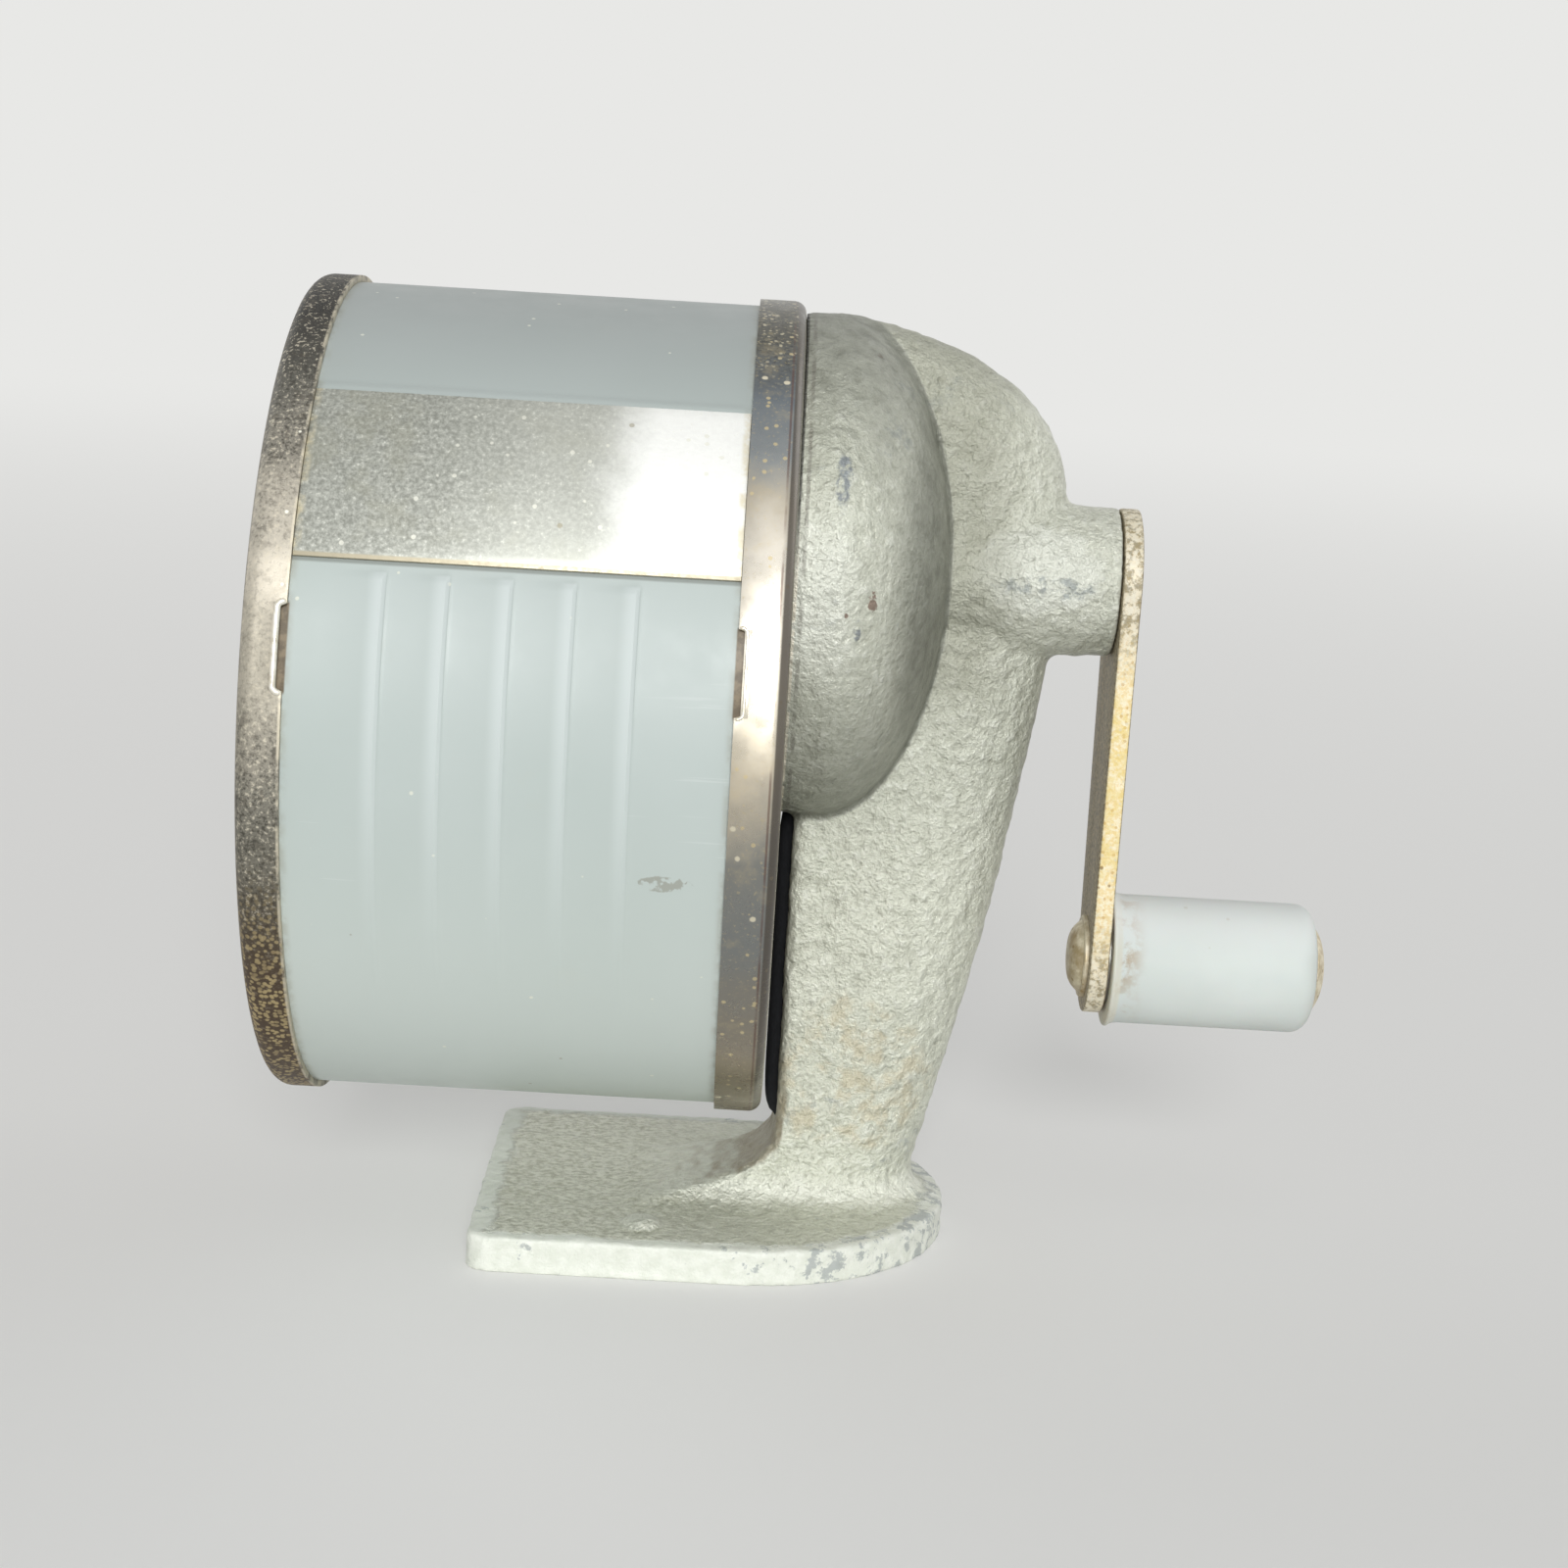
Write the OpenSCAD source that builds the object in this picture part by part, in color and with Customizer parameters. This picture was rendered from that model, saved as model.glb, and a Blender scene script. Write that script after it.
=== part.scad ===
// Crank pencil sharpener. A cast stand carries a gear housing. A round drum
// locks onto the housing and catches the shavings. Inside the drum the crank
// turns a carrier with two helical cutters, whose pinions roll in a ring gear.
//
// Frame: X runs along the crank axis, with the crank at +X and the pencil
// entering from -X. Z is up. The origin is the middle of the base's underside.

/* [Base] */
// Length of the base plate along the crank axis
base_l = 52; // [46:1:66]
// Width of the base plate, and diameter of its round rear end
base_w = 46; // [40:1:60]
// Thickness of the base plate
base_t = 4; // [3:0.5:5]
// Corner radius at the square end of the base
base_corner_r = 2.5; // [1:0.5:6]

/* [Stand] */
// Thickness of the column and of the spine over the housing
column_t = 13; // [10:0.5:18]
// Rear edge of the column where it meets the base, from the middle of the base
foot_rear_x = 21.2; // [14:0.2:24]
// Rearmost reach of the spine, from the middle of the base
spine_rear_x = 34.4; // [30:0.2:36]
// Radius of the fillet between the column and the base
foot_fillet_r = 4.5; // [2:0.5:6]
// Length of the ramp in front of the column's foot
toe_l = 16.8; // [8:0.2:24]
// Height of the ramp in front of the column's foot
toe_h = 8.6; // [5:0.2:9.6]
// Outer radius of the gear housing
housing_r = 27.2; // [27:0.2:33]
// Wall of the gear housing
housing_wall = 3; // [2:0.25:4]
// Depth of the housing's domed back
housing_dome = 13.5; // [12:0.5:15]
// Diameter of the crank boss
boss_d = 16.2; // [14:0.2:20]
// Rear end of the crank boss, from the middle of the base
boss_end_x = 39.6; // [38:0.2:50]

/* [Drum] */
// Gap between the base plate and the drum
drum_gap = 10.3; // [10.1:0.1:20]
// Outer diameter of the two end caps
cap_d = 88.4; // [80:0.2:106.2]
// Length of the drum over both caps
drum_l = 52.2; // [51.6:0.2:64]
// Rear plane of the drum, from the middle of the base
drum_rear_x = 4.6; // [3:0.2:6]
// Sheet thickness of the caps
cap_gauge = 0.7; // [0.5:0.05:1]
// Outer corner radius of the front cap
front_corner_r = 1.6; // [1.2:0.2:4]
// Outer corner radius of the rear cap
rear_corner_r = 1.3; // [1.2:0.1:3]
// Width of the front cap's skirt
front_skirt_w = 4.4; // [4.2:0.2:7]
// Width of the rear cap's skirt
rear_skirt_w = 5; // [4:0.2:7]
// Wall of the plastic shell
shell_wall = 1.8; // [1.4:0.1:3]
// Thickness of the nameplate
nameplate_t = 0.4; // [0.2:0.1:0.6]

/* [Size dial] */
// Thickness of the dial
dial_t = 1.2; // [0.8:0.1:2]
// Radius of the hole for a standard pencil
pencil_hole_r = 4; // [3.8:0.1:4.2]
// Radius of the smallest guide hole
small_hole_r = 3.1; // [2.8:0.1:3.3]
// Step in radius from one guide hole to the next
hole_step = 0.3; // [0.1:0.05:0.3]

/* [Crank] */
// Height of the crank axis above the drum's axis
crank_rise = 16; // [14:0.5:16.5]
// Diameter of the crankshaft
shaft_d = 7; // [6:0.2:9]
// Distance from the crankshaft to the knob
crank_r = 42.1; // [34:0.1:52]
// Thickness of the crank arm
arm_t = 2.1; // [1.6:0.1:3]
// Width of the arm at the knob
arm_tip_w = 12.4; // [10:0.2:15]
// Diameter of the knob
knob_d = 14.4; // [12:0.2:20]
// Length of the knob
knob_l = 22.8; // [16:0.2:30]
// Diameter of the knob's spindle
spindle_d = 4.2; // [3:0.1:5]

/* [Cutters] */
// Diameter of a cutter over its teeth
cutter_d = 16; // [14:0.2:16.6]
// Length of a cutter's toothed part
cutter_l = 31.4; // [26:0.2:32]
// Angle of a cutter's axis to the crank axis, half the pencil's point angle
cutter_tilt = 8.5; // [8:0.1:9.5]
// Number of helical teeth on a cutter
cutter_teeth = 16; // [12:1:20]
// Diameter of a cutter's pin
pin_d = 3.2; // [2.6:0.1:3.6]
// Gear module, in millimetres of pitch diameter a tooth
gear_module = 0.8; // [0.79:0.005:0.82]
// Face width of the gears
gear_face = 3; // [2.6:0.1:3.2]

/* [Fits] */
// Radial clearance of a shaft that turns in a hole
run_clear = 0.05; // [0.02:0.01:0.09]
// Clearance between pieces that are pressed or fastened together
fix_clear = 0.02; // [0.01:0.01:0.05]
// Gap between faces that pass each other
face_gap = 0.3; // [0.2:0.05:0.4]

/* [Hidden] */
$fn = 96;
over = 1; // overshoot of a cut, or sink of one joined body in another

// Axes
drum_axis_h = base_t + drum_gap + cap_d / 2;
crank_z = drum_axis_h + crank_rise;
knob_z = crank_z - crank_r;

// Drum
cap_r = cap_d / 2;
drum_front_x = drum_rear_x - drum_l;
front_skirt_x = drum_front_x + front_skirt_w;
rear_skirt_x = drum_rear_x - rear_skirt_w;
shell_r = cap_r - cap_gauge - fix_clear;
shell_front_x = drum_front_x + front_corner_r + fix_clear;
shell_rear_x = drum_rear_x - rear_corner_r - fix_clear;
plate_low_angle = 25.1;
plate_high_angle = 50.3;
crimp_low_angle = 7.9;
crimp_high_angle = 18.9;
crimp_span = crimp_high_angle - crimp_low_angle;
crimp_w = 0.6;
crimp_lip = 0.35;
crimp_lip_w = 0.7;

// Housing, lock plate and ring gear
plate_t = 1.2;
housing_gap = 0.6;
plate_front_x = drum_rear_x + housing_gap;
casting_front_x = plate_front_x + plate_t;
rim_front_x = drum_rear_x + 0.75 * housing_gap;
rim_wall = 1.6;
plate_r = housing_r - rim_wall;
housing_rim = 2;
column_bulge = 0.456;
spine_rise = 6.5;
spine_drop = 4.5;
spine_arch = 17.5;
spine_proud = 0.2;
nub_r = 2;
nub_h = 0.7;
dome_x = casting_front_x + housing_rim;
ring_teeth = 34;
pinion_teeth = 15;
ring_pitch_r = gear_module * ring_teeth / 2;
pinion_pitch_r = gear_module * pinion_teeth / 2;
centre_offset = ring_pitch_r - pinion_pitch_r;
tooth_tip = 0.6 * gear_module;
tooth_root = 1.15 * gear_module;
tooth_w = 1.1 * gear_module;
tooth_slope = 0.36;
ring_wall = 2.4;
collar_wall = 2.8;
ring_r = ring_pitch_r + tooth_root + ring_wall;
collar_r = ring_r + fix_clear + collar_wall;
collar_shoulder = 1.2;
lug_t = 1.6;
lug_h = 2.6;
lug_angle = 24;
lug_places = [90, 210, 330];
lug_play = 1.5;
lug_rear_x = drum_rear_x - cap_gauge - face_gap;
collar_front_x = lug_rear_x - lug_t - gear_face;
gear_x = collar_front_x + gear_face / 2;
twist = 22;
plate_screw_d = 2.4;
plate_screw_head_d = 2 * plate_screw_d;
plate_screw_ring_r = collar_r + plate_screw_head_d / 2 + 0.4;
plate_screw_l = 6;
screw_boss_wall = 1.7;
screw_tip_gap = 0.5;

// Cutter carrier, from the gears to the rear and to the front
roller_r = cutter_d / 2;
roller_gap = 0.42;
cutter_tooth_h = 0.9;
pinion_gap = 1.3;
roller_z = max(
    gear_face / 2 + 1,
    (roller_r * cos(cutter_tilt) + roller_gap / 2 - centre_offset) / sin(cutter_tilt)
);
roller_end_z = roller_z + cutter_l;
carrier_disc_t = 4;
carrier_rear_x = collar_front_x + gear_face + pinion_gap;
carrier_r = ring_pitch_r - tooth_tip - 0.8;
carrier_bar_r = carrier_r - 3.2;
carrier_bar_angle = 16;
bar_inset = 0.2;
carrier_hub_r = shaft_d / 2 + 3.3;
carrier_hub_x = carrier_rear_x + carrier_disc_t;
carrier_hub_l = 4;
carrier_end_x = carrier_hub_x + carrier_hub_l;
carrier_front_x = gear_x - roller_end_z * cos(cutter_tilt) - roller_r * sin(cutter_tilt) - 0.9;
guide_hole_r = 5.6;
pin_r = pin_d / 2;
pin_seat = 3;
pin_rear_z = -(carrier_rear_x + pin_seat - gear_x) / cos(cutter_tilt);
pin_front_z = (gear_x - carrier_front_x + carrier_disc_t - 0.4) / cos(cutter_tilt);
pin_front_offset = centre_offset + pin_front_z * sin(cutter_tilt);
carrier_front_r = pin_front_offset + pin_r + 2.2;
cutter_washer_t = 0.5;
cutter_washer_w = 1.8;
cutter_play = 0.15;
neck_r = pinion_pitch_r - tooth_root - 0.2;

// Crankshaft, arm and knob
washer_t = 0.9;
axial_play = 0.1;
hub_seat_x = carrier_end_x + washer_t + 2 * axial_play;
drive_r = shaft_d / 2 - 0.5;
drive_flat = 1.55 * drive_r;
carrier_screw_d = 2.6;
carrier_screw_head_d = 5.4;
carrier_screw_head_t = 1.5;
carrier_screw_l = 6;
arm_x = boss_end_x + face_gap;
arm_end_x = arm_x + arm_t;
tenon = shaft_d / sqrt(2) - 0.15;
tenon_proud = 0.35;
spindle_head_d = 9.2;
spindle_head_t = 1.9;
knob_washer_t = 0.5;
knob_washer_r = 0.55 * spindle_head_d;
knob_x = arm_end_x + face_gap;
knob_end_x = knob_x + knob_l;
knob_round = 3.6;
knob_lip_t = 0.9;
knob_lip = 0.45;
crown_t = 1.3;

// Size dial
hole_count = 8;
dial_x = drum_front_x - face_gap - dial_t;
dial_r = crank_rise + small_hole_r + (hole_count - 1) * hole_step + 1.2;
dial_pin_r = 2;
dial_head_r = 4;
dial_head_t = 1.4;
index_ring_r = 0.5 * crank_rise;
index_hole_r = 1.1;
spring_t = 0.4;
spring_w = 7;
leaf_end = 3;
nose_clear = 0.1;
dial_washer_t = 0.5;
window_r = small_hole_r + (hole_count - 1) * hole_step + 0.9;

// Puts +Z of its children along +X at the given place; angles run from +Y to +Z
module axial(x, z) {
    translate([x, 0, z]) rotate([90, 0, 90]) children();
}

// Ring of rectangular section between two angles
module sector(r_in, r_out, h, from, to) {
    rotate([0, 0, from]) rotate_extrude(angle = to - from) translate([r_in, 0]) square([r_out - r_in, h]);
}

// Low dome of radius r and height t on a flat base
module dome_head(r, t) {
    rim = 0.25;
    rotate_extrude() polygon([
        [0, 0], [r, 0],
        for (a = [0 : 10 : 90]) [r * cos(a), t * (rim + (1 - rim) * sin(a))]
    ]);
}

// Countersunk head that narrows along +Z
module sunk_head(d, shank_d, t) {
    cylinder(h = t, r1 = d / 2, r2 = shank_d / 2);
}

// Hole of radius r through a height h, cut past both faces
module bore(h, r) {
    translate([0, 0, -over]) cylinder(h = h + 2 * over, r = r);
}

// Driver slot across a screw head
module slot(l, w, depth) {
    translate([-l / 2, -w / 2, -over]) cube([l, w, depth + over]);
}

// Places its children on cutter 1 or 2, with +Z along the cutter to the front
// and +X away from the crank axis
module at_cutter(side) {
    translate([gear_x, 0, crank_z])
        rotate([side == 1 ? 0 : 180, 0, 0])
            translate([0, 0, centre_offset])
                rotate([0, cutter_tilt - 90, 0])
                    children();
}

/* Stand */

// Rear edge of the column at height z
function column_rear(z) =
    let (s = (z - base_t) / (crank_z - base_t))
    foot_rear_x + (spine_rear_x - foot_rear_x) * s * (1 + column_bulge * (1 - s));

// Outward sweep of the foot fillet at height h above the base plate
function foot_flare(h) =
    h >= foot_fillet_r ? 0 : foot_fillet_r - sqrt(pow(foot_fillet_r, 2) - pow(foot_fillet_r - max(h, 0), 2));

// Reach of the ramp in front of the column at height h above the base plate
function toe_reach(h) = h >= toe_h ? 0 : toe_l * pow(1 - max(h, 0) / toe_h, 3);

// Point at t on the curve with control points a, b and c
function bend(a, b, c, t) = pow(1 - t, 2) * a + 2 * t * (1 - t) * b + t * t * c;

// D-shaped section from q at its flat front to p at its rounded rear
function rib_section(q, p, half, nose, chamfer) =
    let (reach = norm(p - q), d = (p - q) / reach, n = min(nose, reach - 2 * chamfer))
    [for (s = [
        [0, chamfer - half], [chamfer, -half],
        for (a = [-90 : 15 : 90]) [reach - n + n * cos(a), half * sin(a)],
        [chamfer, half], [0, half - chamfer]
    ]) [q.x + d.x * s.x, s.y, q.y + d.y * s.x]];

// Column and spine as one rib, lofted from the base over the back of the housing
module column() {
    nose = 11.5;
    chamfer = 0.8;
    spine_z = crank_z + spine_rise;
    spine_front_z = crank_z + housing_r - spine_drop;
    foot_steps = [-0.5, 0, 0.2, 0.5, 0.9, 1.5, 2.3, 3.3, 4.5, 6.2, 8.6];
    shaft_steps = 9;
    top_steps = 12;
    shaft_low = base_t + foot_steps[len(foot_steps) - 1];
    low = [for (h = foot_steps)
        let (z = base_t + h, f = foot_flare(h))
        rib_section([casting_front_x - toe_reach(h), z], [column_rear(z) + f, z],
            column_t / 2 + f, nose + f, chamfer)];
    middle = [for (i = [1 : shaft_steps])
        let (z = shaft_low + (spine_z - shaft_low) * i / shaft_steps)
        rib_section([casting_front_x, z], [min(column_rear(z), spine_rear_x), z],
            column_t / 2, nose, chamfer)];
    top = [for (i = [1 : top_steps])
        let (t = i / top_steps)
        rib_section([casting_front_x, spine_z + (spine_front_z - spine_z) * t],
            bend([spine_rear_x, spine_z], [spine_rear_x, spine_z + spine_arch],
                [casting_front_x + housing_rim, crank_z + housing_r + spine_proud], t),
            column_t / 2, nose, chamfer)];
    rings = concat(low, middle, top);
    n = len(rings[0]);
    last = len(rings) - 1;
    points = [for (ring = rings) for (p = ring) p];
    sides = [for (k = [0 : last - 1]) for (i = [0 : n - 1]) let (j = (i + 1) % n, a = k * n, b = a + n)
        for (f = [[a + i, b + i, b + j], [a + i, b + j, a + j]]) f];
    floor_face = [[for (i = [0 : n - 1]) i]];
    roof_face = [[for (i = [n - 1 : -1 : 0]) last * n + i]];
    polyhedron(points, concat(floor_face, roof_face, sides), convexity = 6);
}

module base_plate() {
    round_x = base_l / 2 - base_w / 2;
    corner_x = base_corner_r - base_l / 2;
    corner_y = base_w / 2 - base_corner_r;
    translate([round_x, 0, 0]) cylinder(h = base_t, r = base_w / 2);
    translate([corner_x, -base_w / 2, 0]) cube([round_x - corner_x, base_w, base_t]);
    translate([-base_l / 2, -corner_y, 0]) cube([base_l / 2, 2 * corner_y, base_t]);
    for (s = [-1, 1]) translate([corner_x, s * corner_y, 0]) cylinder(h = base_t, r = base_corner_r);
}

// Round body with an elliptical domed end, open or solid by use
module domed(r, rim, dome) {
    rotate_extrude() polygon([
        [0, 0], [r, 0],
        for (a = [0 : 6 : 90]) [r * cos(a), rim + dome * sin(a)]
    ]);
}

module screw_places() {
    for (a = [30, 150, 270]) rotate([0, 0, a]) translate([plate_screw_ring_r, 0, 0]) children();
}

module housing_cavity() {
    inner_r = housing_r - housing_wall;
    difference() {
        translate([0, 0, -over]) domed(inner_r, housing_rim + over, housing_dome - housing_wall);
        translate([0, 0, hub_seat_x - casting_front_x])
            cylinder(h = housing_dome + housing_rim, r = boss_d / 2);
        screw_places() cylinder(h = housing_dome, r = plate_screw_d / 2 + screw_boss_wall);
    }
}

module frame_casting() {
    nub_place = [-0.145 * base_l, -0.35 * base_w, base_t];
    boss_root_x = dome_x + housing_dome / 2;
    color("silver") difference() {
        union() {
            base_plate();
            column();
            axial(casting_front_x, crank_z) domed(housing_r, housing_rim, housing_dome);
            axial(rim_front_x, crank_z) cylinder(h = dome_x - rim_front_x, r = housing_r);
            axial(boss_root_x, crank_z) cylinder(h = boss_end_x - boss_root_x, r = boss_d / 2);
            translate(nub_place) dome_head(nub_r, nub_h);
        }
        axial(rim_front_x - over, crank_z)
            cylinder(h = casting_front_x - rim_front_x + over, r = plate_r + fix_clear);
        axial(casting_front_x, crank_z) {
            housing_cavity();
            bore(boss_end_x, shaft_d / 2 + run_clear);
            screw_places() translate([0, 0, -over])
                cylinder(h = plate_screw_l + over, r = plate_screw_d / 2 + fix_clear);
        }
    }
}

// Cover let into the rim of the housing, with the collar and lugs that hold the drum
module lock_plate() {
    color("darkgray") difference() {
        union() {
            axial(plate_front_x, crank_z) cylinder(h = plate_t, r = plate_r);
            axial(collar_front_x, crank_z) cylinder(h = casting_front_x - collar_front_x, r = collar_r);
            for (a = lug_places)
                axial(lug_rear_x - lug_t, crank_z)
                    sector(collar_r - over, collar_r + lug_h, lug_t, a - lug_angle / 2, a + lug_angle / 2);
        }
        axial(collar_front_x - over, crank_z) cylinder(h = gear_face + over, r = ring_r + fix_clear);
        axial(collar_front_x, crank_z) bore(casting_front_x - collar_front_x, ring_r - collar_shoulder);
        axial(plate_front_x - fix_clear, crank_z) screw_places() {
            sunk_head(plate_screw_head_d + 4 * fix_clear, plate_screw_d + 2 * fix_clear, plate_t + fix_clear);
            bore(plate_t, plate_screw_d / 2 + fix_clear);
        }
    }
}

module plate_screws() {
    color("gray") axial(plate_front_x, crank_z) screw_places() difference() {
        union() {
            sunk_head(plate_screw_head_d, plate_screw_d, plate_t);
            cylinder(h = plate_t + plate_screw_l - screw_tip_gap, r = plate_screw_d / 2);
        }
        slot(2 * plate_screw_d, 0.6, 0.4);
    }
}

// Outline of one gear tooth from angle a, between a base and a tip radius;
// the flanks close in towards the tip by the same slope
function tooth(a, pitch_r, base_r, tip_r) =
    let (root = tooth_w + 2 * tooth_slope * abs(pitch_r - base_r),
        tip = tooth_w - 2 * tooth_slope * abs(tip_r - pitch_r))
    [for (s = [[-root, base_r], [-tip, tip_r], [tip, tip_r], [root, base_r]])
        let (turn = a + s.x / 2 / s.y * 180 / PI) [s.y * cos(turn), s.y * sin(turn)]];

module ring_gear() {
    tip_r = ring_pitch_r - tooth_tip;
    root_r = ring_pitch_r + tooth_root;
    color("dimgray") axial(collar_front_x, crank_z) difference() {
        cylinder(h = gear_face, r = ring_r);
        translate([0, 0, -over]) linear_extrude(gear_face + 2 * over)
            polygon([for (i = [0 : ring_teeth - 1])
                each tooth(90 + (i + 0.5) * 360 / ring_teeth, ring_pitch_r, root_r, tip_r)]);
    }
}

/* Crank */

// Round bar with two flats, which drives the carrier
module drive(h, clear) {
    intersection() {
        cylinder(h = h, r = drive_r + clear);
        translate([-shaft_d, -drive_flat / 2 - clear, 0]) cube([2 * shaft_d, drive_flat + 2 * clear, h]);
    }
}

// Square bar about the Z axis
module square_bar(side, h) {
    translate([-side / 2, -side / 2, 0]) cube([side, side, h]);
}

module crank_shaft() {
    drive_x = carrier_rear_x + carrier_screw_head_t;
    color("gray") difference() {
        union() {
            axial(drive_x, crank_z) drive(carrier_end_x - drive_x + over, 0);
            axial(carrier_end_x, crank_z) cylinder(h = arm_x - carrier_end_x, r = shaft_d / 2);
            axial(arm_x - over, crank_z) square_bar(tenon, arm_t + tenon_proud + over);
        }
        axial(drive_x - over, crank_z)
            cylinder(h = carrier_screw_l + over, r = carrier_screw_d / 2 + fix_clear);
    }
}

// Flat strip with round ends, wider at the shaft
module crank_arm() {
    top_r = boss_d / 2;
    tip_r = arm_tip_w / 2;
    lean = asin((top_r - tip_r) / crank_r);
    color("dimgray") axial(arm_x, crank_z) difference() {
        union() {
            cylinder(h = arm_t, r = top_r);
            translate([0, -crank_r, 0]) cylinder(h = arm_t, r = tip_r);
            linear_extrude(arm_t) polygon([
                for (s = [[-1, 0, top_r], [-1, crank_r, tip_r], [1, crank_r, tip_r], [1, 0, top_r]])
                    [s.x * s.z * cos(lean), -s.y - s.z * sin(lean)]
            ]);
        }
        translate([0, 0, -over]) square_bar(tenon + 2 * fix_clear, arm_t + 2 * over);
        translate([0, -crank_r, 0]) bore(arm_t, spindle_d / 2 + fix_clear);
    }
}

module knob_spindle() {
    step_t = 0.6;
    color("wheat") union() {
        axial(arm_x, knob_z) rotate([180, 0, 0]) {
            cylinder(h = step_t, r = spindle_head_d / 2);
            translate([0, 0, step_t]) dome_head(0.42 * spindle_head_d, spindle_head_t - step_t);
        }
        axial(arm_x - step_t / 2, knob_z)
            cylinder(h = knob_end_x + face_gap - arm_x + step_t, r = spindle_d / 2);
        axial(knob_end_x + face_gap / 2, knob_z) dome_head(spindle_head_d / 2, crown_t);
    }
}

module knob_washer() {
    color("silver") axial(arm_end_x + fix_clear, knob_z) difference() {
        cylinder(h = knob_washer_t, r = knob_washer_r);
        bore(knob_washer_t, spindle_d / 2 + fix_clear);
    }
}

module knob() {
    r = knob_d / 2;
    color("gainsboro") axial(knob_x, knob_z) difference() {
        rotate_extrude() polygon([
            [0, 0], [r + knob_lip, 0], [r + knob_lip, 0.4 * knob_lip_t], [r, knob_lip_t],
            for (a = [0 : 10 : 90])
                [r - knob_round + knob_round * cos(a), knob_l - knob_round + knob_round * sin(a)],
            [0, knob_l]
        ]);
        bore(knob_l, spindle_d / 2 + run_clear);
        translate([0, 0, -over]) cylinder(h = over + fix_clear + knob_washer_t, r = knob_washer_r + run_clear);
    }
}

module thrust_washer() {
    color("tan") axial(carrier_end_x + axial_play, crank_z) difference() {
        cylinder(h = washer_t, r = boss_d / 2 - 0.6);
        bore(washer_t, shaft_d / 2 + run_clear);
    }
}

/* Cutters */

module cutter_carrier() {
    washer_z = roller_end_z + cutter_play + cutter_washer_t + cutter_play;
    color("gray") difference() {
        union() {
            axial(carrier_rear_x, crank_z) cylinder(h = carrier_disc_t, r = carrier_r);
            axial(carrier_hub_x - over, crank_z) cylinder(h = carrier_hub_l + over, r = carrier_hub_r);
            axial(carrier_front_x - carrier_disc_t, crank_z)
                cylinder(h = carrier_disc_t, r = carrier_front_r);
            for (a = [0, 180])
                axial(carrier_front_x - over, crank_z)
                    sector(carrier_bar_r, carrier_r - bar_inset, carrier_rear_x - carrier_front_x + 2 * over,
                        a - carrier_bar_angle, a + carrier_bar_angle);
            for (side = [1, 2])
                at_cutter(side) translate([0, 0, washer_z])
                    cylinder(h = pin_front_z - 1.5 - washer_z, r = pin_r + cutter_washer_w);
        }
        for (side = [1, 2])
            at_cutter(side) {
                translate([0, 0, washer_z - over])
                    cylinder(h = pin_front_z - washer_z + 4 * over, r = pin_r + fix_clear);
                translate([0, 0, pin_rear_z - fix_clear])
                    cylinder(h = pin_seat + 2.5 * over, r = pin_r + fix_clear);
            }
        axial(carrier_front_x - carrier_disc_t, crank_z) bore(carrier_disc_t, guide_hole_r);
        axial(carrier_rear_x + carrier_screw_head_t, crank_z)
            drive(carrier_disc_t + carrier_hub_l, fix_clear);
        axial(carrier_rear_x, crank_z)
            sunk_head(carrier_screw_head_d + 2 * fix_clear, carrier_screw_d + 0.6, carrier_screw_head_t);
    }
}

module carrier_screw() {
    color("silver") axial(carrier_rear_x, crank_z) difference() {
        union() {
            sunk_head(carrier_screw_head_d, carrier_screw_d, carrier_screw_head_t - fix_clear);
            cylinder(h = carrier_screw_head_t + carrier_screw_l - screw_tip_gap, r = carrier_screw_d / 2);
        }
        slot(2 * carrier_screw_d, 0.7, 0.6);
    }
}

module cutter_pin(side) {
    color("lightgray") at_cutter(side)
        translate([0, 0, pin_rear_z]) cylinder(h = pin_front_z - pin_rear_z, r = pin_r);
}

module cutter_washers() {
    color("tan") for (side = [1, 2])
        at_cutter(side) translate([0, 0, roller_end_z + cutter_play]) difference() {
            cylinder(h = cutter_washer_t, r = pin_r + cutter_washer_w);
            bore(cutter_washer_t, pin_r + fix_clear);
        }
}

// Helical roller, neck and pinion in one piece
module cutter(side) {
    pitch = 360 / cutter_teeth;
    root_r = roller_r - cutter_tooth_h;
    helix = 100;
    tip_r = pinion_pitch_r + tooth_tip;
    base_r = pinion_pitch_r - tooth_root;
    color("slategray") at_cutter(side) difference() {
        union() {
            translate([0, 0, -gear_face / 2]) linear_extrude(gear_face)
                polygon([for (i = [0 : pinion_teeth - 1])
                    each tooth(i * 360 / pinion_teeth, pinion_pitch_r, base_r, tip_r)]);
            cylinder(h = roller_z + over, r = neck_r);
            translate([0, 0, roller_z]) linear_extrude(cutter_l, twist = helix, slices = 14)
                polygon([for (i = [0 : cutter_teeth - 1]) for (s = [[0, roller_r], [0.2, root_r]])
                    [s.y * cos((i + s.x) * pitch), s.y * sin((i + s.x) * pitch)]]);
        }
        translate([0, 0, -gear_face]) bore(roller_end_z + 2 * gear_face, pin_r + run_clear);
    }
}

/* Drum */

// Plastic shell, with a low rib above the nameplate on each side
module drum_shell() {
    rib_h = 0.35;
    rib_w = 1.5;
    rib_gap = 0.4;
    color("lightslategray") difference() {
        union() {
            axial(shell_front_x, drum_axis_h) cylinder(h = shell_rear_x - shell_front_x, r = shell_r);
            for (side = [0, 1])
                mirror([0, side, 0]) axial(front_skirt_x, drum_axis_h)
                    sector(shell_r - over, shell_r + rib_h, rear_skirt_x - front_skirt_x,
                        180 - plate_high_angle - rib_gap - rib_w, 180 - plate_high_angle - rib_gap);
        }
        axial(shell_front_x, drum_axis_h) bore(drum_l, shell_r - shell_wall);
    }
}

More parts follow.
